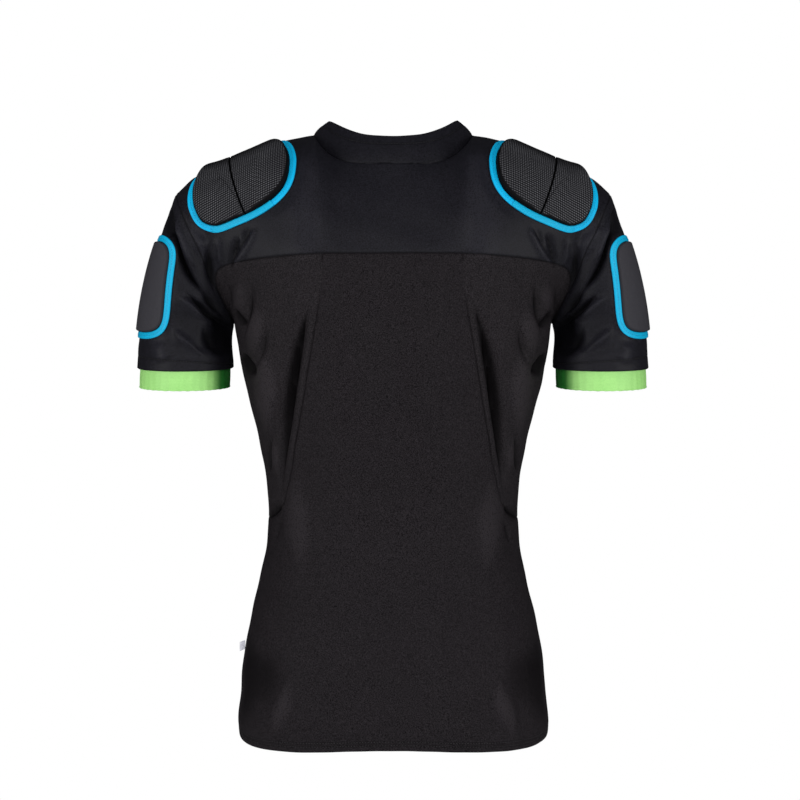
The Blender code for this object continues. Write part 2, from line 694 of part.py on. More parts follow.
def add_label():
    """Folded tape that stands out of the side seam."""
    edge = smooth_column(TORSO_SECTIONS, "half_width", LABEL_HEIGHT) + SEAM_GAP
    body = bmesh.new()
    made = bmesh.ops.create_cube(body, size=1.0)
    bmesh.ops.scale(body, vec=(LABEL_WIDTH, LABEL_THICKNESS, LABEL_LENGTH), verts=made["verts"])
    fold = [line for line in body.edges if all(vert.co.x < 0.0 for vert in line.verts)]
    fold = [line for line in fold if abs(line.verts[0].co.z - line.verts[1].co.z) > 0.5 * LABEL_LENGTH]
    round_edge = LABEL_FOLD_SHARE * LABEL_THICKNESS
    bmesh.ops.bevel(body, geom=fold, offset=round_edge, segments=2, affect="EDGES")
    clearance = 0.5 * LABEL_WIDTH + HEM_LIP
    bmesh.ops.translate(body, vec=(-edge - clearance, 0.0, LABEL_HEIGHT), verts=body.verts)
    return finish_piece("side_label", body, LABEL_TAPE)


class Skin:
    """The whole cloth as one welded surface whose faces carry the names of their panels."""

    def __init__(self):
        self.mesh = bmesh.new()
        self.panels = []
        self.panel_layer = self.mesh.faces.layers.int.new("panel")
        self.wall_layer = self.mesh.verts.layers.float.new("wall")

    def add_lattice(self, lattice, panel_of, wall_of):
        """Add a grid of points; panel_of names the panel of a cell, wall_of gives a row's thickness."""
        columns, rows = lattice.shape[:2]
        grid = []
        for i in range(columns):
            grid.append([self.mesh.verts.new(lattice[i, j]) for j in range(rows)])
            for j in range(rows):
                grid[i][j][self.wall_layer] = wall_of(j)
        for i in range(columns - 1):
            for j in range(rows - 1):
                corners = (grid[i][j], grid[i + 1][j], grid[i + 1][j + 1], grid[i][j + 1])
                name = panel_of(i, j)
                if name not in self.panels:
                    self.panels.append(name)
                self.mesh.faces.new(corners)[self.panel_layer] = self.panels.index(name)

    def weld(self):
        """Join the lattices along their shared edges and point every face outward."""
        bmesh.ops.remove_doubles(self.mesh, verts=self.mesh.verts, dist=WELD_DISTANCE)
        bmesh.ops.recalc_face_normals(self.mesh, faces=self.mesh.faces)
        self.mesh.normal_update()
        hindmost = min(self.mesh.faces, key=lambda face: face.calc_center_median().y)
        if hindmost.normal.y > 0.0:
            bmesh.ops.reverse_faces(self.mesh, faces=self.mesh.faces)
            self.mesh.normal_update()
        self.mesh.verts.index_update()
        self.mesh.faces.index_update()

    def inset_of(self, vertex, faces):
        """Step that moves a panel's edge vertex half a seam gap into the panel, more in a sharp fold."""
        inward = []
        inset = 0.5 * SEAM_GAP
        for edge in vertex.link_edges:
            own = [face for face in edge.link_faces if face in faces]
            if len(own) != 1:
                continue
            for other in edge.link_faces:
                openness = math.sqrt(max(0.5 + 0.5 * own[0].normal.dot(other.normal), SHARPEST_FOLD))
                inset = max(inset, 0.5 * SEAM_GAP / openness)
            direction = own[0].normal.cross(edge.verts[1].co - edge.verts[0].co).normalized()
            if direction.dot(own[0].calc_center_median() - edge.verts[0].co) < 0.0:
                direction.negate()
            inward.append(direction)
        if not inward:
            return None
        total = sum(inward, Vector())
        spread = max(total.length_squared / len(inward), SHARPEST_FOLD)
        return total * (inset / spread)

    def cut_panel(self, name, finish):
        """Make one panel's faces into a closed wall."""
        index = self.panels.index(name)
        faces = {face for face in self.mesh.faces if face[self.panel_layer] == index}
        vertices = {vertex for face in faces for vertex in face.verts}
        body = bmesh.new()
        outer = {}
        inner = {}
        for vertex in sorted(vertices, key=lambda item: item.index):
            step = self.inset_of(vertex, faces)
            place = vertex.co + step if step else vertex.co
            outer[vertex] = body.verts.new(place)
            inner[vertex] = body.verts.new(place - vertex.normal * vertex[self.wall_layer])
        for face in sorted(faces, key=lambda item: item.index):
            body.faces.new([outer[vertex] for vertex in face.verts])
            body.faces.new([inner[vertex] for vertex in reversed(face.verts)])
            for loop in face.loops:
                if sum(other in faces for other in loop.edge.link_faces) == 1:
                    first, second = sorted((loop.vert, loop.link_loop_next.vert), key=lambda item: item.index)
                    body.faces.new((outer[first], outer[second], inner[second]))
                    body.faces.new((outer[first], inner[second], inner[first]))
        return finish_piece(name, body, finish)


def side_share(v):
    """Share of the half-width, at a row, where the back panel ends and the side panel starts."""
    v = np.asarray(v, float)
    height = blend(HEM_SIDE_HEIGHT, UNDERARM_HEIGHT, np.clip(v, 0.0, 1.0))
    squareness = smooth_column(TORSO_SECTIONS, "squareness", height)
    half_width = smooth_column(TORSO_SECTIONS, "half_width", height)
    across = np.clip(smooth_column(BACK_SEAM, "from_centre", height) / half_width, 0.0, 1.0)
    out = (1.0 - across**squareness) ** (1.0 / squareness)
    below = np.arctan2(across, out) * 2.0 / math.pi
    rise = np.clip(v - 1.0, 0.0, 1.0)
    dip = BACK_SEAM_DIP * 4.0 * rise * (1.0 - rise)
    return below + (NECK_SHARE - below) * np.where(rise > 0.0, rise**2, 0.0) - dip


def back_column(position, v):
    """Chart place of a back lattice column: positions to 1 are on the back panel, to 2 beside it."""
    edge = side_share(v)
    reach = np.abs(position)
    u = np.where(reach <= 1.0, edge * reach, blend(edge, 1.0, reach - 1.0))
    return np.sign(position) * u


def yoke_rise(u):
    """Rise of the yoke seam on the back."""
    u = np.abs(u)
    sag = YOKE_SEAM_SAG * u**YOKE_SEAM_SAG_CURVE + YOKE_SEAM_CORNER * u**YOKE_SEAM_CORNER_CURVE
    seam = YOKE_SEAM_HEIGHT - sag
    top = top_edge(BACK, u)[..., 2]
    lift = (seam - UNDERARM_HEIGHT) / (top - UNDERARM_HEIGHT)
    return np.arcsin(lift) * 2.0 / math.pi


def front_yoke_rise(u):
    """Rise of the yoke's front seam."""
    outward = np.clip((np.abs(u) - NECK_SHARE) / (1.0 - NECK_SHARE), 0.0, 1.0)
    return blend(YOKE_FRONT_SHARE["neck"], YOKE_FRONT_SHARE["armhole"], np.sqrt(outward))


def lower_rows(position):
    """Rows from the hem to the underarm level, with one along the lower edge of the side panels."""
    beyond = np.clip(np.abs(position) - 1.0, 0.0, 1.0)
    fall = 1.0 - (1.0 - beyond) ** 2
    length = UNDERARM_HEIGHT - HEM_SIDE_HEIGHT
    hem = HEM_BAND / length
    edge = (blend(BACK_SEAM_CORNER_HEIGHT, BACK_SEAM_TIP_HEIGHT, fall) - HEM_SIDE_HEIGHT) / length
    below = blend(hem * HEM_ROW_STEP, edge, np.linspace(0.0, 1.0, ROWS_BELOW_SIDE_PANEL))
    beside = blend(edge, 1.0, shares(ROWS_BESIDE_SIDE_PANEL))
    return np.concatenate([[0.0, hem], below, beside])


def shares(count):
    """Evenly spaced shares from just above 0 to 1."""
    return np.linspace(0.0, 1.0, count + 1)[1:]


def back_lattice():
    """Back half of the body: columns by rows of u and v, and the row index of the yoke seam."""
    middle = np.linspace(-1.0, 1.0, BACK_COLUMNS + 1)
    beyond = 1.0 + shares(SIDE_COLUMNS)
    positions = np.concatenate([-beyond[::-1], middle, beyond])
    low = np.array([lower_rows(position) for position in positions])
    seam = np.full(positions.shape, YOKE_SEAM_FIRST_RISE)
    for _ in range(YOKE_SEAM_PASSES):
        seam = yoke_rise(back_column(positions, 1.0 + seam))
    upper = seam[:, None] * shares(ROWS_TO_YOKE)[None, :]
    yoke = blend(seam[:, None], 1.0, shares(YOKE_ROWS)[None, :])
    rows = np.concatenate([low, 1.0 + upper, 1.0 + yoke], axis=1)
    u = back_column(np.broadcast_to(positions[:, None], rows.shape), rows)
    return u, rows, low.shape[1] + ROWS_TO_YOKE - 1


def front_lattice():
    """Front half of the body: u and v, and the row index of the yoke's front seam."""
    middle = np.linspace(-NECK_SHARE, NECK_SHARE, NECK_FRONT_COLUMNS + 1)
    beyond = blend(NECK_SHARE, 1.0, shares(SIDE_COLUMNS))
    columns = np.concatenate([-beyond[::-1], middle, beyond])
    low = lower_rows(SIDE_SEAM_POSITION)
    seam = front_yoke_rise(columns)
    upper = seam[:, None] * shares(FRONT_ROWS)[None, :]
    yoke = blend(seam[:, None], 1.0, shares(FRONT_YOKE_ROWS)[None, :])
    rows = np.concatenate([np.broadcast_to(low, (len(columns), len(low))), 1.0 + upper, 1.0 + yoke], axis=1)
    u = np.broadcast_to(columns[:, None], rows.shape)
    return u, rows, len(low) + FRONT_ROWS - 1


def body_wall(row):
    """Wall thickness of a body row: the turned hem is thicker."""
    return HEM_THICKNESS if row < 2 else CLOTH_THICKNESS


def add_body(skin):
    """Back and front of the body, and the turns of the armhole's points round the sleeve."""
    u, v, yoke_row = back_lattice()
    side_row = 1 + ROWS_BELOW_SIDE_PANEL

    def back_panel_of(column, row):
        if row >= yoke_row:
            return "yoke"
        if row < side_row or SIDE_COLUMNS <= column < SIDE_COLUMNS + BACK_COLUMNS:
            return "back_panel"
        return "side_panel_left" if column < SIDE_COLUMNS else "side_panel_right"

    skin.add_lattice(body_point(BACK, u, v), back_panel_of, body_wall)
    back_turns = 0.5 * (v[0, v[0] >= 1.0] - 1.0)

    u, v, front_row = front_lattice()

    def front_panel_of(column, row):
        yoke_columns = SIDE_COLUMNS + YOKE_FRONT_NECK_COLUMNS
        beside_neck = column < yoke_columns or column >= len(u) - 1 - yoke_columns
        return "yoke" if row >= front_row and beside_neck else "front_panel"

    skin.add_lattice(body_point(FRONT, u, v), front_panel_of, body_wall)
    front_turns = 1.0 - 0.5 * (v[0, v[0] >= 1.0] - 1.0)
    return np.concatenate([back_turns, front_turns[::-1][1:]])


def add_sleeve(skin, side, turns):
    """Sleeve from the armhole's own points to its hem."""
    length = abs(SLEEVE_END_HEIGHT - SHOULDER_RIDGE[-1].height)
    hem = 1.0 - SLEEVE_HEM / length
    along = np.concatenate([np.linspace(0.0, hem, SLEEVE_ROWS), [1.0]])
    lattice = sleeve_point(side, turns[:, None], along[None, :])
    name = f"sleeve_{SIDE_NAMES[side]}"

    def wall_of(row):
        return HEM_THICKNESS if row >= len(along) - 2 else CLOTH_THICKNESS

    skin.add_lattice(lattice, lambda column, row: name, wall_of)


def add_collar(skin):
    """Collar ring on the neckline's own points."""
    edge = side_share(np.array(2.0))
    steps = np.linspace(-1.0, 1.0, BACK_COLUMNS + 1) * float(edge) / NECK_SHARE
    front_steps = np.linspace(1.0, -1.0, NECK_FRONT_COLUMNS + 1)
    share = np.linspace(0.0, 1.0, COLLAR_ROWS + 1)
    halves = []
    for sheet, angles in ((BACK, steps), (FRONT, front_steps)):
        angle = np.broadcast_to(angles[:, None] * math.pi / 2.0, (len(angles), len(share)))
        halves.append(collar_point(sheet, angle, np.broadcast_to(share, angle.shape)))
    lattice = np.concatenate([halves[0], halves[1][1:]])
    skin.add_lattice(lattice, lambda column, row: "collar", lambda row: COLLAR_THICKNESS)


def clear_scene():
    """Remove whatever the scene holds."""
    for item in list(bpy.data.objects):
        bpy.data.objects.remove(item, do_unlink=True)


def main():
    """Build every piece of the garment."""
    clear_scene()
    skin = Skin()
    turns = add_body(skin)
    add_collar(skin)
    for side in (LEFT, RIGHT):
        add_sleeve(skin, side, turns)
    skin.weld()
    for name in skin.panels:
        smooth = name.startswith(("yoke", "sleeve", "collar"))
        skin.cut_panel(name, YOKE_CLOTH if smooth else BODY_CLOTH)
    skin.mesh.free()
    for side in (LEFT, RIGHT):
        add_cuff(side, turns[:-1])
        add_shoulder_set(side)
        add_bicep_set(side)
    add_label()


main()
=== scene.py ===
"""Padded body armour top in its worn form: cloth panels, taped foam pads, elastic cuffs and sewing.

The cloth is one continuous skin on the same sections and lines as the solids, with listed creases,
cut along its seams into thin walls. Pads, tapes, cuffs and stitches are laid on the skin's own
points. Frame: metres, +Z up, the wearer's back faces -Y and the wearer's right arm is at +X.
"""

from __future__ import annotations

import logging
import math
from dataclasses import dataclass, field
from enum import Enum, IntEnum
from functools import partial
from typing import Any, Callable, NamedTuple, Sequence

import bmesh
import bpy
import numpy as np
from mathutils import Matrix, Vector
from mathutils.kdtree import KDTree
from numpy import concatenate as join

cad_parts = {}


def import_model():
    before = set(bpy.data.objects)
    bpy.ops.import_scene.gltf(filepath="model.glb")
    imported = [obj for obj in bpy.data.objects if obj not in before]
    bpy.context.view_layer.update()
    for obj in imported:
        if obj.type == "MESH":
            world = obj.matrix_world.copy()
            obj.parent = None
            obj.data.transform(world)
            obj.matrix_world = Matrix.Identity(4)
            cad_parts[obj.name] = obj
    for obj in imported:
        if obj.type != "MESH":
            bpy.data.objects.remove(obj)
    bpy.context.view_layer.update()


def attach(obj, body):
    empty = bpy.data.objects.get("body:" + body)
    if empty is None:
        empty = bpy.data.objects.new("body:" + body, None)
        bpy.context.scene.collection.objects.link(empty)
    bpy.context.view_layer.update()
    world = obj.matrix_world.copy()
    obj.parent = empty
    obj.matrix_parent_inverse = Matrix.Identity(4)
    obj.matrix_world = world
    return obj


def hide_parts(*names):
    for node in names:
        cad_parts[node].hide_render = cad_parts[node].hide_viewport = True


LOG = logging.getLogger("body_armour")
Array = np.ndarray
Chart = Callable[[Array, Array], Array]
Line = tuple[np.ndarray, np.ndarray]
Piece = bpy.types.Object
Material = bpy.types.Material
Socket = bpy.types.NodeSocket
Triple = tuple[float, float, float]
Span = tuple[float, float]

BODY = "root"
SEAM_GAP = 0.00004
PIECE_LIFT = 0.0009
SLOPE_STEP = 1.0e-4
WELD_DISTANCE = 2.0e-5
SHARP_EDGE = math.radians(55.0)
MILLIMETRE = 0.001


class Sheet(IntEnum):
    """Half of the body, by the sign of its Y."""

    BACK = -1
    FRONT = 1


class Side(IntEnum):
    """Half of the body, by the sign of its X."""

    LEFT = -1
    RIGHT = 1

    @property
    def word(self) -> str:
        """Name of the side as it stands in piece names."""
        return self.name.lower()


class Slot(Enum):
    """Material slots of the record."""

    SMOOTH_CLOTH = "smooth_cloth"
    BODY_CLOTH = "body_cloth"
    PAD_CLOTH = "pad_cloth"
    BINDING_TAPE = "binding_tape"
    CUFF_ELASTIC = "cuff_elastic"
    LABEL_TAPE = "label_tape"


class PerSheet(NamedTuple):
    """One size for the back and one for the front."""

    back: float
    front: float

    def of(self, sheet: Sheet) -> float:
        """Size on one sheet."""
        return self.back if sheet == Sheet.BACK else self.front


def clamp(share: Array) -> Array:
    """Limit to the range 0 to 1."""
    return np.clip(share, 0.0, 1.0)


def smoothstep(share: Array) -> Array:
    """Ease from 0 to 1 over the range 0 to 1."""
    share = clamp(share)
    return share * share * (3.0 - 2.0 * share)


def ease(values: Any, start: Any, length: float) -> Array:
    """Ease from 0 at start to 1 a length further on, or back where that is negative."""
    return smoothstep((values - start) / length)


def blend(first: Any, last: Any, share: Any) -> Any:
    """Straight mix of two values."""
    return first + (last - first) * share


def hermite(start: Array, end: Array, start_slope: Array, end_slope: Array, share: Array) -> Array:
    """Cubic from start to end with given slopes."""
    square = share * share
    cube = square * share
    rise = 3.0 * square - 2.0 * cube
    leave = start_slope * (cube - 2.0 * square + share)
    return start * (1.0 - rise) + end * rise + leave + end_slope * (cube - square)


def points(x: Any, y: Any, z: Any) -> Array:
    """Stack three coordinates into points."""
    return np.stack(np.broadcast_arrays(x, y, z), axis=-1)


def unit(vectors: Array) -> Array:
    """Scale vectors to length one."""
    lengths = np.linalg.norm(vectors, axis=-1, keepdims=True)
    return vectors / np.maximum(lengths, 1.0e-12)


def travel(line: Array) -> Array:
    """Distance along a line of points, from 0 at the first."""
    return join([[0.0], np.cumsum(np.linalg.norm(np.diff(line, axis=0), axis=-1))])


def travel_round(line: Array) -> Array:
    """Distance round a closed line of points, at the end of each step."""
    return travel(np.append(line, line[:1], axis=0))[1:]


def smooth_column(table: Sequence[Any], name: str, at: Any) -> Array:
    """Read a column of a table on a smooth curve through its rows.

    Args:
        table: Rows whose first column rises.
        name: Column to read.
        at: Places in the first column.

    Returns:
        The column's values at those places.
    """
    places = np.array([row[0] for row in table])
    values = np.array([getattr(row, name) for row in table])
    slopes = np.gradient(values, places)
    at = np.clip(at, places[0], places[-1])
    low = np.clip(np.searchsorted(places, at) - 1, 0, len(places) - 2)
    span = places[low + 1] - places[low]
    share = (at - places[low]) / span
    return hermite(values[low], values[low + 1], slopes[low] * span, slopes[low + 1] * span, share)


class TorsoSection(NamedTuple):
    """Level section of the body."""

    height: float
    half_width: float
    back_depth: float
    front_depth: float
    squareness: float


class RidgePoint(NamedTuple):
    """Point of the shoulder line seen from behind."""

    from_centre: float
    height: float


class SeamPoint(NamedTuple):
    """Point of the curved seam beside the back panel."""

    height: float
    from_centre: float


TORSO = tuple(map(TorsoSection._make, (
    (-0.695, 0.1735, 0.115, 0.109, 3.0),
    (-0.665, 0.1775, 0.1185, 0.1105, 3.0),
    (-0.63, 0.174, 0.12, 0.1115, 2.9),
    (-0.598, 0.172, 0.119, 0.111, 2.8),
    (-0.552, 0.164, 0.113, 0.107, 2.7),
    (-0.506, 0.1535, 0.103, 0.101, 2.6),
    (-0.46, 0.1445, 0.095, 0.098, 2.5),
    (-0.414, 0.1432, 0.094, 0.099, 2.4),
    (-0.345, 0.1535, 0.103, 0.106, 2.4),
    (-0.276, 0.1705, 0.112, 0.114, 2.5),
    (-0.2116, 0.1817, 0.117, 0.117, 2.5),
)))
SHOULDER_RIDGE = tuple(map(RidgePoint._make, (
    (0.0914, 0.004),
    (0.118, 0.0),
    (0.164, -0.019),
    (0.204, -0.035),
    (0.2306, -0.0465),
    (0.2478, -0.064),
)))
BACK_SEAM = tuple(map(SeamPoint._make, (
    (-0.4081, 0.1216),
    (-0.376, 0.1145),
    (-0.3377, 0.1079),
    (-0.2935, 0.0992),
    (-0.2462, 0.0907),
    (-0.2116, 0.0845),
)))


class NeckRing(NamedTuple):
    """Ring round the neck, which dips from its sides to its two middles."""

    half_width: float
    depth: PerSheet
    side_height: float
    middle_height: PerSheet
    sweep: PerSheet

    def at(self, sheet: Sheet, angle: Array) -> Array:
        """Point of the ring; the angle is 0 in the middle of a sheet."""
        share = np.abs(np.sin(angle)) ** self.sweep.of(sheet)
        height = blend(self.middle_height.of(sheet), self.side_height, share)
        depth = self.depth.of(sheet)
        return points(self.half_width * np.sin(angle), sheet * depth * np.cos(angle), height)


@dataclass(frozen=True)
class BodyForm:
    """Smooth form of the body, neck and shoulders, with no crease in it."""

    underarm_height: float = TORSO[-1].height
    hem_side_height: float = -0.668
    hem_drop: PerSheet = PerSheet(0.0205, 0.014)
    hem_curve: float = 3.0
    hem_middle_lift: float = 0.006
    hem_middle_spread: float = 0.35
    hem_band: float = 0.01
    neck: NeckRing = NeckRing(
        0.0914, PerSheet(0.074, 0.08), 0.004, PerSheet(-0.035, -0.072), PerSheet(4.4, 2.0)
    )
    collar_top: NeckRing = NeckRing(
        0.0742, PerSheet(0.06, 0.066), 0.0213, PerSheet(-0.003, -0.046), PerSheet(2.5, 2.0)
    )
    neck_share: float = 0.32
    neck_to_shoulder: Span = (0.02, 0.3)
    collar_bow: float = 0.0025
    armhole_depth: PerSheet = PerSheet(0.068, 0.062)
    armhole_spread: float = 2.2
    armhole_roundness: float = 0.7
    armhole_fade: float = 1.8
    armhole_edge: float = 4.0
    shoulder_fullness: float = 0.28
    upper_back_lean: float = 2.2

    def section(self, sheet: Sheet, u: Array, height: Array) -> Array:
        """Point of the body at a height; u runs from -1 to 1 between the side seams."""
        squareness = smooth_column(TORSO, "squareness", height)
        depth = smooth_column(TORSO, "back_depth" if sheet == Sheet.BACK else "front_depth", height)
        half_width = smooth_column(TORSO, "half_width", height)
        across = np.sin(u * math.pi / 2.0)
        out = np.cos(u * math.pi / 2.0)
        reach = (np.abs(across) ** squareness + np.abs(out) ** squareness) ** (-1.0 / squareness)
        return points(half_width * reach * across, sheet * depth * reach * out, height)

    def collar(self, sheet: Sheet, angle: Array, share: Array) -> Array:
        """Point of the collar, from the neckline at share 0 to its top edge at share 1."""
        outward = points(np.sin(angle), sheet * np.cos(angle), 0.0)
        share = np.asarray(share)[..., None]
        straight = blend(self.neck.at(sheet, angle), self.collar_top.at(sheet, angle), share)
        return straight + outward * self.collar_bow * np.sin(math.pi * share)

    def top_edge(self, sheet: Sheet, u: Array) -> Array:
        """Neckline in the middle, then the shoulder ridge out to the sleeve."""
        neck = self.neck.at(sheet, np.clip(u / self.neck_share, -1.0, 1.0) * math.pi / 2.0)
        along = clamp((np.abs(u) - self.neck_share) / (1.0 - self.neck_share))
        from_centre = blend(SHOULDER_RIDGE[0].from_centre, SHOULDER_RIDGE[-1].from_centre, along)
        height = smooth_column(SHOULDER_RIDGE, "height", from_centre)
        ridge = points(np.sign(u) * from_centre, 0.0, height)
        return np.where((np.abs(u) <= self.neck_share)[..., None], neck, ridge)

    def shoulder(self, sheet: Sheet, u: Array, rise: Array) -> Array:
        """Point above the underarm level; rise runs from 0 there to 1 at the top edge."""
        low = self.section(sheet, u, np.full_like(u, self.underarm_height))
        top = self.top_edge(sheet, u)
        turn = rise * math.pi / 2.0
        lift = np.sin(turn)
        over_neck = 1.0 - lift**self.upper_back_lean
        over_shoulder = np.cos(turn) * (1.0 + self.shoulder_fullness * lift**2)
        inner, outer = self.neck_to_shoulder
        shoulder = ease(np.abs(u), inner, outer - inner)
        y = top[..., 1] + (low[..., 1] - top[..., 1]) * blend(over_neck, over_shoulder, shoulder)
        edge = np.abs(u) ** self.armhole_edge
        swell = clamp(np.sin(2.0 * turn))
        swell = swell ** blend(self.armhole_fade, self.armhole_roundness, edge)
        y = y + sheet * self.armhole_depth.of(sheet) * np.abs(u) ** self.armhole_spread * swell
        return points(blend(low[..., 0], top[..., 0], lift), y, blend(low[..., 2], top[..., 2], lift))

    def hem_height(self, sheet: Sheet, u: Array) -> Array:
        """Height of the lower edge."""
        drop = self.hem_drop.of(sheet) * (1.0 - np.abs(u) ** self.hem_curve)
        lift = self.hem_middle_lift * np.exp(-((u / self.hem_middle_spread) ** 2))
        return self.hem_side_height - drop + lift

    def at(self, sheet: Sheet, u: Array, v: Array) -> Array:
        """Point of the body: v is 0 at the hem, 1 at the underarm level and 2 at the top edge."""
        u, v = np.broadcast_arrays(np.asarray(u, float), np.asarray(v, float))
        hem = self.hem_height(sheet, u)
        low = self.section(sheet, u, blend(hem, self.underarm_height, clamp(v)))
        high = self.shoulder(sheet, u, clamp(v - 1.0))
        return np.where((v <= 1.0)[..., None], low, high)

    def either(self, back: Array, u: Array, v: Array) -> Array:
        """Point of the back where that is chosen, and of the front elsewhere."""
        return np.where(back[..., None], self.at(Sheet.BACK, u, v), self.at(Sheet.FRONT, u, v))

    def chart(self, side: Side, p: Array, q: Array) -> Array:
        """Point on one shoulder: p along the ridge, q from -1 down the back to 1 down the front."""
        rise = 2.0 - clamp(np.abs(q))
        return self.either(q <= 0.0, side * clamp(p), rise)


@dataclass(frozen=True)
class SleeveForm:
    """Smooth form of the sleeves and of the bands in them."""

    body: BodyForm
    end_centre: float = 0.2386
    end_height: float = -0.261
    end_half_width: float = 0.055
    end_half_depth: float = 0.057
    end_tilt: float = 0.005
    start_slope: float = math.radians(68.0)
    end_slope: float = math.radians(88.0)

    def end(self, side: Side, turn: Array, inset: Any = 0.0, drop: Any = 0.0) -> Array:
        """Ring at the lower edge; turn is 0 at the body, then passes the back, outside and front."""
        angle = turn * 2.0 * math.pi
        across = (self.end_half_width - inset) * np.cos(angle)
        x = side * (self.end_centre - across + drop * math.cos(self.end_slope))
        z = self.end_height - self.end_tilt * np.sin(angle) - drop * math.sin(self.end_slope)
        return points(x, -(self.end_half_depth - inset) * np.sin(angle), z)

    def armhole(self, side: Side, turn: Array) -> Array:
        """Armhole seam, up the back and down the front."""
        rise = 2.0 - np.abs(1.0 - 2.0 * turn)
        return self.body.either(turn <= 0.5, np.full_like(turn, float(side)), rise)

    def at(self, side: Side, turn: Array, along: Array) -> Array:
        """Point of the sleeve, from the armhole at 0 to its lower edge at 1."""
        turn, along = np.broadcast_arrays(np.asarray(turn, float), np.asarray(along, float))
        start = self.armhole(side, turn)
        end = self.end(side, turn)
        length = np.linalg.norm(end - start, axis=-1, keepdims=True)
        slopes = (self.start_slope, self.end_slope)
        leave, arrive = (length * np.array([side * math.cos(s), 0.0, -math.sin(s)]) for s in slopes)
        return hermite(start, end, leave, arrive, along[..., None])

    def chart(self, side: Side, p: Array, q: Array) -> Array:
        """Point on one sleeve: p round it, q along it."""
        return self.at(side, clamp(p), clamp(q))


class ChartFrame(NamedTuple):
    """Points of a chart with its slopes and outward normals."""

    place: Array
    along_p: Array
    along_q: Array
    normal: Array


def chart_frame(chart: Chart, p: Array, q: Array, outward: float) -> ChartFrame:
    """Work out points, slopes and normals on a chart.

    Args:
        chart: The chart.
        p: First coordinates.
        q: Second coordinates.
        outward: 1 where the chart's own normal points out of the cloth, -1 where it points in.

    Returns:
        The frame at each place.
    """
    step = SLOPE_STEP
    along_p = (chart(p + step, q) - chart(p - step, q)) / (2.0 * step)
    along_q = (chart(p, q + step) - chart(p, q - step)) / (2.0 * step)
    return ChartFrame(chart(p, q), along_p, along_q, unit(np.cross(along_p, along_q)) * outward)


def shift_outline(chart: Chart, p: Array, q: Array, distance: float, outward: float) -> Line:
    """Move a closed outline sideways on its chart.

    Args:
        chart: The chart.
        p: First coordinates of the outline.
        q: Second coordinates of the outline.
        distance: Move in metres, inward where positive.
        outward: Sign of the chart's normal.

    Returns:
        The moved coordinates.
    """
    frame = chart_frame(chart, p, q, outward)
    tangent = unit(np.roll(frame.place, -1, axis=0) - np.roll(frame.place, 1, axis=0))
    sideways = np.cross(frame.normal, tangent)
    inward = np.sign(np.mean(np.sum(sideways * (frame.place.mean(axis=0) - frame.place), axis=-1)))
    move = sideways * inward * distance

    def dot(first: Array, second: Array) -> Array:
        """Dot products of two rows of vectors."""
        return np.sum(first * second, axis=-1)

    first, last = frame.along_p, frame.along_q
    pp, pq, qq = dot(first, first), dot(first, last), dot(last, last)
    move_p, move_q = dot(move, first), dot(move, last)
    area = pp * qq - pq * pq
    return p + (move_p * qq - move_q * pq) / area, q + (move_q * pp - move_p * pq) / area


def resample(chart: Chart, p: Array, q: Array, count: int, closed: bool) -> Line:
    """Spread a number of points evenly along a line on a chart.

    Args:
        chart: The chart.
        p: First coordinates of the line.
        q: Second coordinates of the line.
        count: Number of points.
        closed: Whether the line runs back to its start.

    Returns:
        The coordinates of the points.
    """
    if closed:
        p = np.append(p, p[0])
        q = np.append(q, q[0])
    distance = travel(chart(p, q))
    wanted = np.linspace(0.0, distance[-1], count, endpoint=not closed)
    return np.interp(wanted, distance, p), np.interp(wanted, distance, q)


def grid_faces(rows: int, columns: int, wrap_rows: bool, wrap_columns: bool) -> Array:
    """Quads of a grid of points that is stored row by row.

    Args:
        rows: Number of rows.
        columns: Number of columns.
        wrap_rows: Whether the last row joins the first.
        wrap_columns: Whether the last column joins the first.

    Returns:
        Four point indices for each quad.
    """
    row = np.arange(rows if wrap_rows else rows - 1)[:, None]
    column = np.arange(columns if wrap_columns else columns - 1)[None, :]
    next_row = (row + 1) % rows
    next_column = (column + 1) % columns
    corners = (
        row * columns + column,
        row * columns + next_column,
        next_row * columns + next_column,
        next_row * columns + column,
    )
    return np.stack(np.broadcast_arrays(*corners), axis=-1).reshape(-1, 4)


def make_piece(
    name: str,
    places: Array,
    quads: Array,
    triangles: Array | None = None,
    weave: Array | None = None,
    values: dict[str, Array] | None = None,
    face_out: bool = True,
) -> Piece:
    """Make an object from points and faces.

    Args:
        name: Piece name.
        places: Points.
        quads: Four point indices for each quad.
        triangles: Three point indices for each triangle.
        weave: Cloth coordinates in metres for each corner of the quads.
        values: Named numbers or vectors for each point.
        face_out: Whether to point the faces of a closed shell outward.

    Returns:
        The linked object, smooth shaded with its sharp edges marked.
    """
    faces = quads.tolist() + ([] if triangles is None else triangles.tolist())
    mesh = bpy.data.meshes.new(name)
    mesh.from_pydata(places.tolist(), [], faces)
    if weave is not None:
        layer = mesh.uv_layers.new(name="weave")
        layer.uv.foreach_set("vector", np.asarray(weave, np.float32).ravel())
    for key, value in (values or {}).items():
        vector = value.size > len(places)
        stored = mesh.attributes.new(key, "FLOAT_VECTOR" if vector else "FLOAT", "POINT")
        stored.data.foreach_set("vector" if vector else "value", np.asarray(value, np.float32).ravel())
    mesh.validate()
    if face_out:
        body = bmesh.new()
        body.from_mesh(mesh)
        bmesh.ops.recalc_face_normals(body, faces=body.faces)
        body.to_mesh(mesh)
        body.free()
    mesh.shade_smooth()
    mesh.set_sharp_from_angle(angle=SHARP_EDGE)
    piece = bpy.data.objects.new(name, mesh)
    bpy.context.scene.collection.objects.link(piece)
    return piece


def point_tree(places: Array) -> KDTree:
    """Search tree of points."""
    tree = KDTree(len(places))
    for index, point in enumerate(places):
        tree.insert(point, index)
    tree.balance()
    return tree


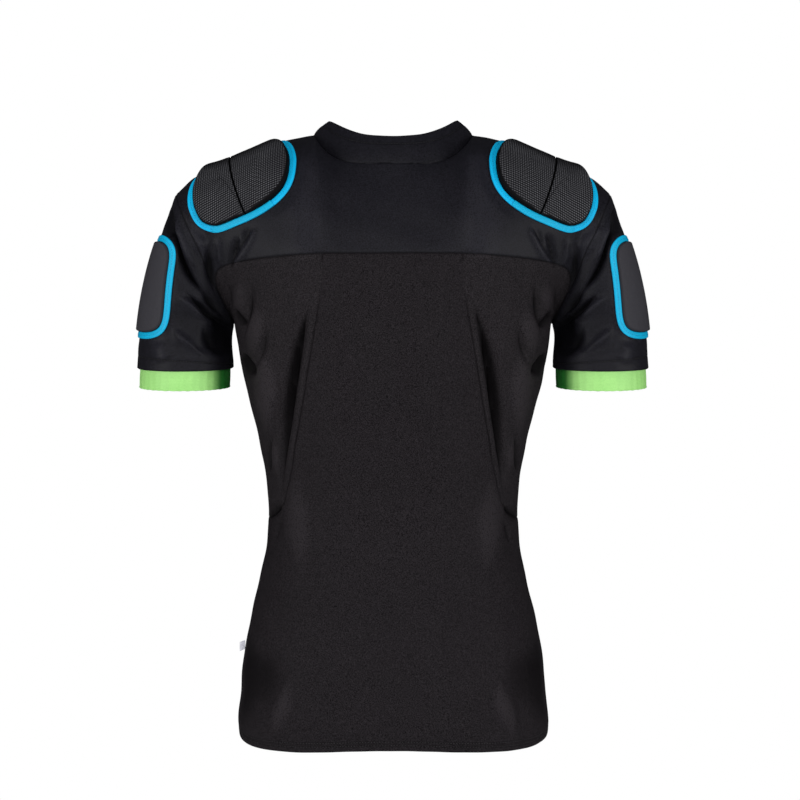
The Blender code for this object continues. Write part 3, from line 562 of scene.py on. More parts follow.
def enrol(piece: Piece, slot: Slot, finish: Material | None, *nodes: str) -> None:
    """Give a piece its finish and its body, and hide the nodes that it stands for.

    Args:
        piece: The piece.
        slot: Material slot of the record; not used.
        finish: Its finish, or None where it already has one.
        nodes: Nodes that it replaces.
    """
    if finish is not None:
        piece.data.materials.clear()
        piece.data.materials.append(finish)
    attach(piece, BODY)
    if nodes:
        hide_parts(*nodes)
    LOG.info("%s: %d faces", piece.name, len(piece.data.polygons))


class NodeTree:
    """Node tree that takes each node with its settings and sockets in one call."""

    def __init__(self, tree: bpy.types.NodeTree) -> None:
        """Work on a tree."""
        self.tree = tree

    def node(self, kind: str, settings: dict[str, Any], sockets: dict[Any, Any]) -> bpy.types.NodeOutputs:
        """Add a node.

        Args:
            kind: Node type.
            settings: The node's own settings, which are set first.
            sockets: Values or links of its inputs, by name or place.

        Returns:
            The node's outputs.
        """
        node = self.tree.nodes.new(kind)
        for key, value in settings.items():
            setattr(node, key, value)
        for key, value in sockets.items():
            self.feed(node.inputs[key], value)
        return node.outputs

    def feed(self, socket: Socket, value: Any) -> None:
        """Set a socket to a number or link it to another socket."""
        value = value.socket if isinstance(value, Value) else value
        if isinstance(value, Socket):
            self.tree.links.new(value, socket)
        else:
            socket.default_value = value


def operator(operation: str, swapped: bool = False) -> Callable[[Value, Any], Value]:
    """Make a Python operator of such numbers, with its two terms swapped or not."""

    def work(value: Value, other: Any) -> Value:
        """Add one Math node."""
        return value.maths(operation, *((other, value) if swapped else (value, other)))

    return work


class Value:
    """Number on a socket, so that the maths of a node tree reads as plain expressions."""

    __add__ = __radd__ = operator("ADD")
    __mul__ = __rmul__ = operator("MULTIPLY")
    __sub__ = operator("SUBTRACT")
    __rsub__ = operator("SUBTRACT", swapped=True)
    __truediv__ = operator("DIVIDE")
    __pow__ = operator("POWER")

    def __init__(self, tree: NodeTree, socket: Socket) -> None:
        """Wrap a socket of a tree."""
        self.tree = tree
        self.socket = socket

    def maths(self, operation: str, *terms: Any) -> Value:
        """Add one Math node."""
        made = self.tree.node("ShaderNodeMath", {"operation": operation}, dict(enumerate(terms)))
        return Value(self.tree, made[0])

    def wave(self) -> Value:
        """Cosine wave of this number of turns, from 0 to 1."""
        return self.maths("COSINE", self * (2.0 * math.pi)) * 0.5 + 0.5

    def swing(self, weight: float) -> Value:
        """Weighted swing about zero of a number that is one half on average."""
        return (self - 0.5) * weight

    def between(self, low: float, high: float) -> Value:
        """Ease from 0 at low to 1 at high."""
        limits = {"Value": self, "From Min": low, "From Max": high}
        made = self.tree.node("ShaderNodeMapRange", {"interpolation_type": "SMOOTHSTEP"}, limits)
        return Value(self.tree, made["Result"])


class Shading(NodeTree):
    """Node tree of one finish."""

    def __init__(self, name: str) -> None:
        """Start a material with its main shader."""
        self.material = bpy.data.materials.new(name)
        self.material.use_nodes = True
        super().__init__(self.material.node_tree)
        self.shader = self.tree.nodes["Principled BSDF"].inputs

    def weave(self) -> tuple[Value, Value]:
        """Two coordinates along the cloth, in metres."""
        layer = self.node("ShaderNodeUVMap", {"uv_map": "weave"}, {})
        split = self.node("ShaderNodeSeparateXYZ", {}, {0: layer[0]})
        return Value(self, split[0]), Value(self, split[1])

    def stored(self, name: str) -> Value:
        """Number stored on the piece's points."""
        return Value(self, self.node("ShaderNodeAttribute", {"attribute_name": name}, {})["Fac"])

    def noise(self, scale: float, detail: float) -> Value:
        """Noise over the piece, about one half on average."""
        place = self.node("ShaderNodeTexCoord", {}, {})["Object"]
        wanted = {"Vector": place, "Scale": scale, "Detail": detail}
        return Value(self, self.node("ShaderNodeTexNoise", {}, wanted)[0])

    def mix(self, share: Any, first: Any, last: Any) -> Socket:
        """Mix two colours."""
        first, last = ((*c, 1.0) if isinstance(c, tuple) else c for c in (first, last))
        return self.node("ShaderNodeMix", {"data_type": "RGBA"}, {0: share, 6: first, 7: last})[2]

    def bump(self, height: Value, distance: float) -> None:
        """Turn a height into the shader's normal."""
        made = self.node("ShaderNodeBump", {}, {"Height": height, "Distance": distance})
        self.feed(self.shader["Normal"], made[0])

    def finish(self, colour: Socket, roughness: Value, gloss: float = 0.5) -> Material:
        """Feed the main shader.

        Args:
            colour: Base colour.
            roughness: Roughness.
            gloss: Specular level, the same all over.

        Returns:
            The material.
        """
        self.feed(self.shader["Base Color"], colour)
        self.feed(self.shader["Roughness"], roughness)
        self.feed(self.shader["Specular IOR Level"], gloss)
        return self.material


@dataclass(frozen=True)
class KnitCloth:
    """Black stretch cloth, speckled by its knit and dark in its seams, with painted shade in its creases, a
    painted dark line along narrow troughs and a painted highlight on its ridges.
    """

    name: str
    dark: Triple
    light: Triple
    roughness: float
    speckle: float
    wale: float
    relief: float
    gloss: float = 0.05
    grain_scale: float = 860.0
    patch_scale: float = 24.0
    patches: float = 0.15
    loop_skew: float = 0.3
    loop_tone: float = 0.12
    seam_shade: float = 0.5
    crease_shade: float = 0.8
    core: float = 2.2
    core_shade: float = 0.85
    grain_rough: float = 0.25
    patch_rough: float = 0.1
    fold_rough: float = 0.2
    grain_height: float = 0.7
    loop_height: float = 0.5

    def make(self) -> Material:
        """Build the material."""
        shading = Shading(self.name)
        across, up = shading.weave()
        wales = (across / self.wale).wave()
        loop = wales * (up / self.wale + wales * self.loop_skew).wave()
        grain = shading.noise(self.grain_scale, 1.0)
        patch = shading.noise(self.patch_scale, 3.0)
        seam = shading.stored("seam")
        line = shading.stored("fold_line") * self.core
        # Painted shade: a dark line along the middle of each narrow trough.
        core = shading.stored("fold_dark") / (line * line + 1.0) ** 2.0
        shade = grain.swing(self.speckle) + patch.swing(self.patches) + 0.5 + loop * self.loop_tone
        shade = shade * (1.0 - seam * self.seam_shade) * (1.0 - core * self.core_shade)
        # Painted shade in the troughs and painted highlight on the ridges, from the stored crease value.
        shade = shade * (shading.stored("crease") * self.crease_shade + 1.0)
        rough = grain.swing(self.grain_rough) + patch.swing(self.patch_rough) + self.roughness
        rough = rough + (seam + core) * self.fold_rough
        shading.bump(grain * self.grain_height + loop * self.loop_height, self.relief)
        return shading.finish(shading.mix(shade, self.dark, self.light), rough, self.gloss)


@dataclass(frozen=True)
class PadCloth:
    """Dark grey ribbed mesh over foam, plain on the pad's side wall, with painted shade on that wall and
    painted glints on the rib crests.
    """

    name: str
    pitch: float
    plain: Triple
    # Colour of the painted shade on the pad's side wall.
    wall: Triple
    valley: Triple = (0.0003, 0.0003, 0.0005)
    crest: Triple = (0.026, 0.026, 0.03)
    # Colour of painted glints on the rib crests.
    dot: Triple = (0.195, 0.195, 0.21)
    roughness: float = 0.65
    gloss: float = 0.05
    grain_scale: float = 600.0
    wear_scale: float = 30.0
    grain_share: float = 0.2
    dot_least: float = 0.1
    ribbed: Span = (0.05, 0.8)
    grain_rough: float = 0.3
    crest_polish: float = 0.08
    grain_height: float = 0.5
    relief: float = 0.00025

    def make(self) -> Material:
        """Build the material."""
        shading = Shading(self.name)
        crest = (shading.stored("rib_place") / self.pitch).wave()
        strength = shading.stored("rib_strength")
        # Painted glints in dots along the rib crests; the dots also raise the bump.
        dots = crest**2.0 * (shading.stored("rib_along") / self.pitch).wave() ** 2.0
        grain = shading.noise(self.grain_scale, 1.0)
        wear = shading.noise(self.wear_scale, 3.0)
        ribs = crest * (1.0 - self.grain_share) + grain * self.grain_share
        dotted = dots * (wear * (1.0 - self.dot_least) + self.dot_least)
        ribbed = shading.mix(dotted, shading.mix(ribs, self.valley, self.crest), self.dot)
        plain = shading.mix(grain.swing(1.0 - self.grain_share) + 0.5, self.wall, self.plain)
        colour = shading.mix(strength.between(*self.ribbed), plain, ribbed)
        # Painted shade on the pad's side wall.
        colour = shading.mix(shading.stored("side_wall"), colour, self.wall)
        shading.bump(grain * self.grain_height + dots * strength, self.relief)
        rough = grain.swing(self.grain_rough) + self.roughness - crest * self.crest_polish
        return shading.finish(colour, rough, self.gloss)


@dataclass(frozen=True)
class TapeCloth:
    """Flat woven tape, brighter along its middle."""

    name: str
    edge: Triple
    middle: Triple
    roughness: float = 0.5
    gloss: float = 0.15
    row_pitch: float = 0.0011
    row_skew: float = 2.0
    grain_scale: float = 900.0
    wear_scale: float = 60.0
    edge_width: float = 0.12
    edge_tone: float = 0.5
    grain_tone: float = 0.3
    wear_tone: float = 0.2
    row_tone: float = 0.1
    least: float = 0.4
    row_height: float = 0.6
    relief: float = 0.0001

    def make(self) -> Material:
        """Build the material."""
        shading = Shading(self.name)
        across = shading.stored("across")
        grain = shading.noise(self.grain_scale, 1.0)
        wear = shading.noise(self.wear_scale, 2.0)
        rows = (shading.stored("along") / self.row_pitch + across * self.row_skew).wave()
        share = across.between(0.0, self.edge_width) * self.edge_tone + grain.swing(self.grain_tone)
        share = share + wear.swing(self.wear_tone) + rows * self.row_tone + self.least
        shading.bump(rows * self.row_height + grain * (1.0 - self.row_height), self.relief)
        rough = wear.swing(self.wear_tone) + self.roughness
        return shading.finish(shading.mix(share, self.edge, self.middle), rough, self.gloss)


@dataclass(frozen=True)
class ElasticCloth:
    """Woven elastic with fine ribs along the band, with painted shade on the side that faces the body."""

    name: str
    dark: Triple = (0.13, 0.43, 0.07)
    light: Triple = (0.36, 0.69, 0.215)
    # Colour of the painted shade on the side that faces the body.
    deep: Triple = (0.001, 0.15, 0.014)
    roughness: float = 0.6
    ribs: float = 18.125
    gather: float = 0.0013
    grain_scale: float = 700.0
    wear_scale: float = 40.0
    rib_tone: float = 0.18
    gather_tone: float = 0.08
    grain_tone: float = 0.4
    wear_tone: float = 0.35
    middle_tone: float = 0.55
    grain_rough: float = 0.2
    rib_height: float = 0.6
    relief: float = 0.00015

    def make(self) -> Material:
        """Build the material."""
        shading = Shading(self.name)
        rows = (shading.stored("across") * self.ribs).wave()
        gathers = (shading.stored("along") / self.gather).wave()
        grain = shading.noise(self.grain_scale, 1.0)
        wear = shading.noise(self.wear_scale, 3.0)
        share = rows * self.rib_tone + gathers * self.gather_tone + self.middle_tone
        share = share + grain.swing(self.grain_tone) + wear.swing(self.wear_tone)
        bright = shading.mix(share, self.dark, self.light)
        # Painted shade on the side that faces the body.
        colour = shading.mix(shading.stored("body_side"), bright, self.deep)
        shading.bump(rows * self.rib_height + gathers * (1.0 - self.rib_height), self.relief)
        return shading.finish(colour, grain.swing(self.grain_rough) + self.roughness)


@dataclass(frozen=True)
class PlainFinish:
    """Thread, label tape or floor with a faint grain."""

    name: str
    dark: Triple
    light: Triple
    roughness: float
    grain_scale: float
    grain_rough: float = 0.2

    def make(self) -> Material:
        """Build the material."""
        shading = Shading(self.name)
        grain = shading.noise(self.grain_scale, 2.0)
        colour = shading.mix(grain, self.dark, self.light)
        return shading.finish(colour, grain.swing(self.grain_rough) + self.roughness)


class PieceTree(NodeTree):
    """Geometry Nodes tree that makes what repeats on a piece."""

    def __init__(self, name: str, sizes: dict[str, float]) -> None:
        """Start a tree with named sizes and a material as its inputs."""
        super().__init__(bpy.data.node_groups.new(name, "GeometryNodeTree"))
        face = self.tree.interface
        face.new_socket("Geometry", in_out="OUTPUT", socket_type="NodeSocketGeometry")
        self.sizes = sizes
        kinds = {"Geometry": "Geometry", **dict.fromkeys(sizes, "Float"), "Finish": "Material"}
        self.keys = {}
        for key, kind in kinds.items():
            socket = face.new_socket(key, in_out="INPUT", socket_type=f"NodeSocket{kind}")
            self.keys[key] = socket.identifier
        self.given = self.tree.nodes.new("NodeGroupInput").outputs

    def stored(self, name: str, kind: str = "FLOAT") -> Value:
        """Number or vector stored on the points."""
        made = self.node("GeometryNodeInputNamedAttribute", {"data_type": kind}, {"Name": name})
        return Value(self, made[0])

    def close(self, geometry: Socket) -> None:
        """End the tree in plain geometry with its finish."""
        real = self.node("GeometryNodeRealizeInstances", {}, {0: geometry})[0]
        dressed = self.node("GeometryNodeSetMaterial", {}, {0: real, "Material": self.given["Finish"]})[0]
        self.node("NodeGroupOutput", {}, {0: dressed})

    def run(self, piece: Piece, finish: Material) -> None:
        """Put the tree's result into a piece as a plain mesh."""
        modifier = piece.modifiers.new("shape", "NODES")
        modifier.node_group = self.tree
        for key, value in {**self.sizes, "Finish": finish}.items():
            modifier[self.keys[key]] = value
        graph = bpy.context.evaluated_depsgraph_get()
        mesh = bpy.data.meshes.new_from_object(
            piece.evaluated_get(graph), preserve_all_data_layers=True, depsgraph=graph
        )
        piece.modifiers.remove(modifier)
        mesh.name = piece.name
        piece.data = mesh


def rib_tree(pitch: float, height: float) -> PieceTree:
    """Tree that raises ribs on a pad's cloth.

    Args:
        pitch: Distance between ribs.
        height: Height of a rib.

    Returns:
        The tree.
    """
    tree = PieceTree("pad_ribs", {"Pitch": pitch, "Height": height})
    crest = (tree.stored("rib_place") / tree.given["Pitch"]).wave()
    raised = crest * tree.given["Height"] * tree.stored("rib_strength")
    normal = tree.node("GeometryNodeInputNormal", {}, {})[0]
    offset = tree.node("ShaderNodeVectorMath", {"operation": "SCALE"}, {0: normal, "Scale": raised})[0]
    tree.close(tree.node("GeometryNodeSetPosition", {}, {0: tree.given["Geometry"], "Offset": offset})[0])
    return tree


def stitch_tree(length: float, width: float, seed: int, uneven: Span = (0.85, 1.12)) -> PieceTree:
    """Tree that puts a small rounded stitch on each point, along its thread.

    Args:
        length: Length of a stitch.
        width: Width of the thread.
        seed: Seed of the stitches' unevenness.
        uneven: Shortest and longest stitch, in shares of the length.

    Returns:
        The tree.
    """
    tree = PieceTree("stitches", {"Length": length, "Width": width})
    ball = tree.node("GeometryNodeMeshUVSphere", {}, {"Segments": 6, "Rings": 4, "Radius": 0.5})[0]
    turn = "FunctionNodeAlignRotationToVector"
    along = tree.node(turn, {"axis": "X"}, {"Vector": tree.stored("thread", "FLOAT_VECTOR")})[0]
    outward = {"Rotation": along, "Vector": tree.stored("out", "FLOAT_VECTOR")}
    turned = tree.node(turn, {"axis": "Z", "pivot_axis": "X"}, outward)[0]
    limits = {2: uneven[0], 3: uneven[1], "Seed": seed}
    share = Value(tree, tree.node("FunctionNodeRandomValue", {"data_type": "FLOAT"}, limits)[1])
    sizes = (share * tree.given["Length"], tree.given["Width"], tree.given["Width"])
    size = tree.node("ShaderNodeCombineXYZ", {}, dict(enumerate(sizes)))[0]
    placing = {"Points": tree.given["Geometry"], "Instance": ball, "Rotation": turned, "Scale": size}
    placed = tree.node("GeometryNodeInstanceOnPoints", {}, placing)[0]
    real = tree.node("GeometryNodeRealizeInstances", {}, {0: placed})[0]
    tree.close(tree.node("GeometryNodeSetShadeSmooth", {}, {0: real})[0])
    return tree


class Crease(NamedTuple):
    """Trough or ridge through three points, in millimetres from the centre line and up."""

    sheet: Sheet
    start_x: float
    start_z: float
    middle_x: float
    middle_z: float
    end_x: float
    end_z: float
    half_width: float
    height: float
    lean: float
    ends: float = 0.28


class Folds(NamedTuple):
    """Creases at points of the cloth: heights, heights for painted shade and highlight, place across the
    main trough, painted dark line.
    """

    troughs: Array
    ridges: Array
    tone: Array
    line: Array
    dark: Array


# Troughs also paint shade, and ridges a highlight, into the cloth's colour; the wide troughs at the hips
# carry painted shade out to the sides.
BODY_BACK_CREASES = (
    (86, -180, 110, -282, 126, -424, 5.4, -12.5, 0.35, 0.45),
    (143, -238, 144, -286, 140, -366, 12, 5, 0, 0.48),
    (158, -158, 161, -200, 171, -238, 4, -5, 0.3, 0.48),
    (149, -184, 153, -224, 160, -262, 12, 4.4, 0, 0.48),
    (174, -244, 163, -257, 151, -271, 7.5, -11, 0.7),
    (139, -208, 143, -238, 154, -270, 4, -4.4, 0.3, 0.48),
    (173, -156, 172, -184, 171, -216, 8.5, 2.8, 0, 0.48),
    (183, -164, 184, -184, 180, -204, 3, -4, 0, 0.45),
    (181, -195, 172, -207, 165, -219, 4.5, -7, 0.4),
    (172, -113, 178, -134, 184, -154, 3, -4.5, 0),
    (155, -105, 167, -126, 178, -146, 3.5, -4.5, 0),
    (166, -113, 172, -134, 178, -154, 3.5, 3.5, 0),
    (150, -107, 161, -128, 172, -148, 4, 3.5, 0),
    (214, -108, 213, -130, 211, -152, 3.5, 2, 0),
    (206, -126, 204, -152, 198, -184, 4.5, -7, 0, 0.45),
    (224, -98, 219, -116, 211, -140, 9, 4.5, 0),
    (108, -10, 101, -84, 98, -160, 26, 3, 0, 0.2),
    (196, -110, 195, -131, 193, -152, 3.5, 2, 0),
    (112, -590, 122, -634, 138, -686, 11, 4.2, 0, 0.48),
    (168, -535, 170, -608, 176, -700, 22, -5.2, 0, 0.42),
    (146, -556, 139, -606, 150, -664, 18, -3.8, 0, 0.48),
    (139, -338, 138, -362, 142, -384, 4, -7, 0.7),
    (134, -334, 131, -362, 128, -398, 7, 3, 0, 0.48),
    (124, -415, 134, -428, 146, -436, 6, -5, 0.5),
    (126, -434, 130, -448, 135, -464, 3.5, -3, 0),
    (110, -364, 107, -436, 100, -516, 15, 3.4, 0, 0.48),
)
BODY_FRONT_CREASES = (
    (108, -205, 121, -285, 132, -365, 17, -2.8, 0, 0.48),
    (160, -160, 151, -205, 138, -250, 12, -2.6, 0, 0.48),
    (146, -175, 138, -205, 127, -238, 7, 2, 0),
    (30, -430, 72, -447, 118, -458, 11, -2.5, 0),
    (42, -470, 82, -482, 125, -478, 9, 1.5, 0),
    (120, -590, 132, -640, 140, -675, 13, 2.5, 0),
    (178, -120, 184, -145, 186, -170, 5, -2.5, 0),
)
SLEEVE_BACK_CREASES = (
    (250, -70, 240.5, -127, 206, -184, 3.6, -13, 0.3, 0.28),
    (243, -84, 236, -122, 216, -151, 5.5, 4.8, 0, 0.42),
    (262, -82, 257, -100, 252, -120, 9.5, -5, 0),
    (214, -174, 203, -191, 189, -208, 3.5, -8, 0, 0.45),
    (236, -176, 209, -199, 184, -220, 3.4, -9, 0.2, 0.45),
    (246, -178, 222, -198, 206, -212, 4.5, 4.5, 0, 0.45),
    (252, -213, 235, -231, 210, -250, 5.5, 5, 0, 0.45),
    (216, -212, 204, -234, 195, -254, 8, -6, 0, 0.45),
    (270, -224, 264, -242, 258, -260, 10, 3.6, 0),
    (196, -198, 193, -226, 192, -252, 9.5, -8, 0),
    (197, -238, 194, -252, 193, -266, 9.5, -4, 0),
    (236, -184, 232, -222, 230, -260, 24, -3, 0),
)
SLEEVE_FRONT_CREASES = (
    (242, -118, 229, -142, 214, -166, 8, -4.5, 0),
    (250, -183, 229, -200, 207, -216, 8, -3.5, 0),
    (236, -200, 224, -212, 208, -226, 6, 2, 0),
)
CREASE_TABLES = (
    (Sheet.BACK, BODY_BACK_CREASES),
    (Sheet.FRONT, BODY_FRONT_CREASES),
    (Sheet.BACK, SLEEVE_BACK_CREASES),
    (Sheet.FRONT, SLEEVE_FRONT_CREASES),
)
CREASES = tuple(Crease(sheet, *row) for sheet, rows in CREASE_TABLES for row in rows)


@dataclass
class CreaseField:
    """Creases of the whole garment, laid on both sides with a little unevenness."""

    creases: tuple[Crease, ...]
    seed: int = 7
    shift: float = 0.0015
    trough_power: float = 1.6
    ridge_power: float = 2.0
    change: float = 0.15
    steps: int = 24
    facing: float = 1.5
    # Facing limit of the height that paints shade and highlight; core_depth and core_widest below set the
    # painted dark line.
    tone_facing: float = 3.5
    point: float = 0.35
    core_depth: float = 0.006
    core_widest: float = 9.0
    reach: float = 3.0
    wobble: float = 0.00022
    wave_lengths: tuple[float, ...] = (0.032, 0.041, 0.055, 0.07, 0.09)
    laid: list[tuple[Crease, Array, float]] = field(default_factory=list)
    waves: list[tuple[Array, float]] = field(default_factory=list)

    def __post_init__(self) -> None:
        """Lay the creases and the slow waves of the cloth from the seed."""
        chance = np.random.default_rng(self.seed)
        share = np.linspace(0.0, 1.0, self.steps + 1)[:, None]
        for crease in self.creases:
            for side in Side:
                start, middle, end = np.array(crease[1:7]).reshape(3, 2) * MILLIMETRE
                turn = 2.0 * middle - 0.5 * (start + end)
                curve = (1 - share) ** 2 * start + 2 * share * (1 - share) * turn + share**2 * end
                curve = curve + chance.uniform(-self.shift, self.shift, 2)
                change = 1.0 + chance.uniform(-self.change, self.change)
                self.laid.append((crease, curve * np.array([side, 1.0]), change))
        for length in self.wave_lengths:
            direction = unit(chance.normal(size=3)) * 2.0 * math.pi / length
            self.waves.append((direction, chance.uniform(0.0, 2.0 * math.pi)))

    def at(self, place: Array, normal: Array) -> Folds:
        """Creases at points of the cloth.

        Args:
            place: Points on the smooth cloth.
            normal: Their outward normals.

        Returns:
            Heights in metres, and the place across the main trough at each point.
        """
        ridges = sum(np.sin(place @ direction + phase) for direction, phase in self.waves) * self.wobble
        troughs = np.zeros_like(ridges)
        tone = np.zeros_like(ridges)
        line = np.full_like(ridges, self.reach)
        dark = np.zeros_like(ridges)
        spot = place[:, (0, 2)]
        for crease, curve, change in self.laid:
            half_width = MILLIMETRE * crease.half_width
            margin = self.reach * half_width
            inside = np.all((spot > curve.min(0) - margin) & (spot < curve.max(0) + margin), axis=1)
            near = np.flatnonzero(inside & (crease.sheet * normal[:, 1] > 0.0))
            run = np.diff(curve, axis=0)
            offset = spot[near][:, None, :] - curve[:-1]
            share = clamp(np.sum(offset * run, axis=-1) / np.sum(run * run, axis=-1))
            apart = offset - share[..., None] * run
            away = np.linalg.norm(apart, axis=-1)
            pick = (np.arange(len(near)), np.argmin(away, axis=1))
            beside = np.sign(run[:, 0] * apart[..., 1] - run[:, 1] * apart[..., 0])[pick]
            beside = beside * np.sign(curve[0, 0])
            along = (pick[1] + share[pick]) / self.steps
            fade = smoothstep(along / crease.ends) * smoothstep((1.0 - along) / crease.ends)
            full = MILLIMETRE * crease.height * change * fade
            facing = crease.sheet * normal[near, 1]
            depth = full * clamp(self.facing * facing)
            reach = half_width * (1.0 + crease.lean * beside) * blend(self.point, 1.0, fade)
            across = beside * away[pick] / reach
            wide = crease.half_width > self.core_widest
            ridge = crease.height > 0.0
            power = self.ridge_power if wide or ridge else self.trough_power
            profile = np.exp(-(np.abs(across) ** power))
            (ridges if ridge else troughs)[near] += depth * profile
            # Height for painted shade and highlight, which reaches nearer the silhouette than the real
            # crease.
            tone[near] += full * profile * clamp(self.tone_facing * facing)
            if wide or ridge:
                continue
            # Strength of the painted dark line along a narrow trough.
            strength = smoothstep(-depth / self.core_depth) * smoothstep(2.0 - np.abs(across))
            chosen = strength > dark[near]
            line[near[chosen]] = across[chosen]
            dark[near[chosen]] = strength[chosen]
        return Folds(troughs, ridges, tone, line, dark)


class Lattice(NamedTuple):
    """Grid of cloth points with its cloth coordinates, panel names and wall thickness."""

    place: Array
    weave: Array
    panels: Array
    wall: Array
    inside: Array


@dataclass(frozen=True)
class PanelLayout:
    """Cut of the garment: where its seams lie, and the grids of points between them."""

    body: BodyForm
    sleeve: SleeveForm
    yoke_height: float = -0.1373
    yoke_sag: float = 0.017
    yoke_sag_curve: float = 2.2
    yoke_corner: float = 0.024
    yoke_corner_curve: float = 24.0
    yoke_first_rise: float = 0.25
    yoke_passes: int = 4
    front_yoke_neck: float = 0.8
    front_yoke_armhole: float = 0.3
    front_yoke_neck_share: float = 0.6
    back_seam_corner: float = BACK_SEAM[0].height
    back_seam_tip: float = -0.432
    back_seam_dip: float = 0.062
    cloth_thickness: float = 0.0013
    hem_thickness: float = 0.0024
    collar_thickness: float = 0.0022
    sleeve_hem: float = 0.015
    sleeve_length: float = 0.2
    sleeve_rows: tuple[float, ...] = (0.187,)
    collar_height: float = 0.042
    collar_row: float = 0.03
    hem_rows: tuple[float, ...] = (0.0052, 0.009)
    pitch: float = 0.0024
    seam_steps: tuple[float, ...] = (0.0005, 0.0011, 0.002, 0.0036)
    row_step: float = 0.0008
    neck_ease: float = 0.05
    neck_low: Span = (1.35, 0.25)
    neck_high: Span = (1.985, -0.06)
    neck_passes: int = 60
    neck_points: int = 61
    lower_length: float = 0.245
    side_length: float = 0.21
    side_width: float = 0.125
    back_width: float = 0.23
    upper_length: PerSheet = PerSheet(0.075, 0.09)
    yoke_length: PerSheet = PerSheet(0.15, 0.13)
    hem_edges: tuple[float, ...] = (0.0, 0.0012, 0.0028, 0.0112, 0.013)
    hem_ease: float = 0.2
    sleeve_hem_ease: float = 0.02

    def beside(self, rows: Sequence[float]) -> list[float]:
        """Places on and on both sides of rows of stitches."""
        return [row + step * self.row_step for row in rows for step in (-1.0, 0.0, 1.0)]

    def steps(self, length: float, fine_start: bool, fine_end: bool, rows: Sequence[float] = ()) -> Array:
        """Shares from 0 to 1 along a length, with short steps beside a seam or a row of stitches."""
        start = np.array(self.seam_steps if fine_start else (0.0,))
        end = length - np.array(self.seam_steps if fine_end else (0.0,))
        count = max(2, round((end[-1] - start[-1]) / self.pitch))
        middle = np.linspace(start[-1], end[-1], count + 1)[1:-1]
        for row in rows:
            middle = middle[np.abs(middle - row) > 2.0 * self.row_step]
        places = join([[0.0], start, middle, self.beside(rows), end, [length]])
        return np.unique(places) / length

    def side_share(self, v: Array) -> Array:
        """Share of the half-width, at a row, where the back panel ends and the side panel starts."""
        v = np.asarray(v, float)
        height = blend(self.body.hem_side_height, self.body.underarm_height, clamp(v))
        squareness = smooth_column(TORSO, "squareness", height)
        half_width = smooth_column(TORSO, "half_width", height)
        across = clamp(smooth_column(BACK_SEAM, "from_centre", height) / half_width)
        out = (1.0 - across**squareness) ** (1.0 / squareness)
        below = np.arctan2(across, out) * 2.0 / math.pi
        rise = clamp(v - 1.0)
        dip = self.back_seam_dip * 4.0 * rise * (1.0 - rise)
        return below + (self.body.neck_share - below) * rise**2 - dip

    def back_column(self, position: Array, v: Array) -> Array:
        """Chart place of a back column: positions to 1 are on the back panel, to 2 beside it."""
        edge = self.side_share(v)
        reach = np.abs(position)
        return np.sign(position) * np.where(reach <= 1.0, edge * reach, blend(edge, 1.0, reach - 1.0))

    def yoke_rise(self, u: Array) -> Array:
        """Rise of the yoke seam on the back."""
        u = np.abs(u)
        sag = self.yoke_sag * u**self.yoke_sag_curve + self.yoke_corner * u**self.yoke_corner_curve
        low = self.body.underarm_height
        top = self.body.top_edge(Sheet.BACK, u)[..., 2]
        return np.arcsin((self.yoke_height - sag - low) / (top - low)) * 2.0 / math.pi

    def front_yoke_rise(self, u: Array) -> Array:
        """Rise of the yoke's front seam."""
        outward = clamp((np.abs(u) - self.body.neck_share) / (1.0 - self.body.neck_share))
        return blend(self.front_yoke_neck, self.front_yoke_armhole, np.sqrt(outward))

    def hem_band(self) -> Array:
        """Heights of the rows of the turned hem over the lower edge."""
        return np.sort([*self.hem_edges, *self.beside(self.hem_rows)])

    def lower_steps(self) -> Array:
        """Steps from the turned hem to the lower edge of the side panels."""
        return self.steps(self.lower_length, False, True)

    def lower_rows(self, position: float) -> Array:
        """Rows from the hem to the underarm level, with one along the lower edge of the side panels."""
        beyond = clamp(abs(position) - 1.0)
        fall = 1.0 - (1.0 - beyond) ** 2
        low = self.body.hem_side_height
        length = self.body.underarm_height - low
        edge = (blend(self.back_seam_corner, self.back_seam_tip, fall) - low) / length
        band = self.hem_band() / length
        below = blend(band[-1], edge, self.lower_steps()[1:])
        beside = blend(edge, 1.0, self.steps(self.side_length, True, False)[1:])
        return join([band, below, beside])

    def side_columns(self) -> Array:
        """Column shares from the back panel's edge to the side seam."""
        return self.steps(self.side_width, True, True)[1:]

    def middle_columns(self) -> Array:
        """Column positions across the back panel."""
        return self.steps(self.back_width, True, True) * 2.0 - 1.0

    def neck_columns(self) -> Array:
        """Column positions across the front of the neck."""
        return np.linspace(-1.0, 1.0, self.neck_points)

    def walls(self, v: Array) -> Array:
        """Wall thickness of body rows: the turned hem is thicker."""
        length = self.body.underarm_height - self.body.hem_side_height
        share = ease(v * length / self.body.hem_band, 1.0, self.hem_ease)
        return blend(self.hem_thickness, self.cloth_thickness, share)

    def named(self, place: Array, name: str) -> Array:
        """Panel name for each face of a grid of points."""
        columns, rows = place.shape[:2]
        return np.full((columns - 1, rows - 1), name, dtype=object)

    def lay(self, place: Array, panels: Array, wall: Array, inside: Array) -> Lattice:
        """Lattice whose cloth coordinates follow the lengths of its middle row and column."""
        columns, rows = place.shape[:2]
        u = travel(place[:, rows // 2])
        v = travel(place[columns // 2])
        weave = np.stack(np.meshgrid(u - u.mean(), v, indexing="ij"), axis=-1)
        return Lattice(place, weave, panels, wall, inside)

    def lay_half(self, place: Array, panels: Array, v: Array) -> tuple[Lattice, Array]:
        """Lattice of one half of the body, and the rows of its armhole."""
        inside = place * np.array([1.0, 0.0, 1.0])
        return self.lay(place, panels, self.walls(v), inside), v[0, v[0] >= 1.0]

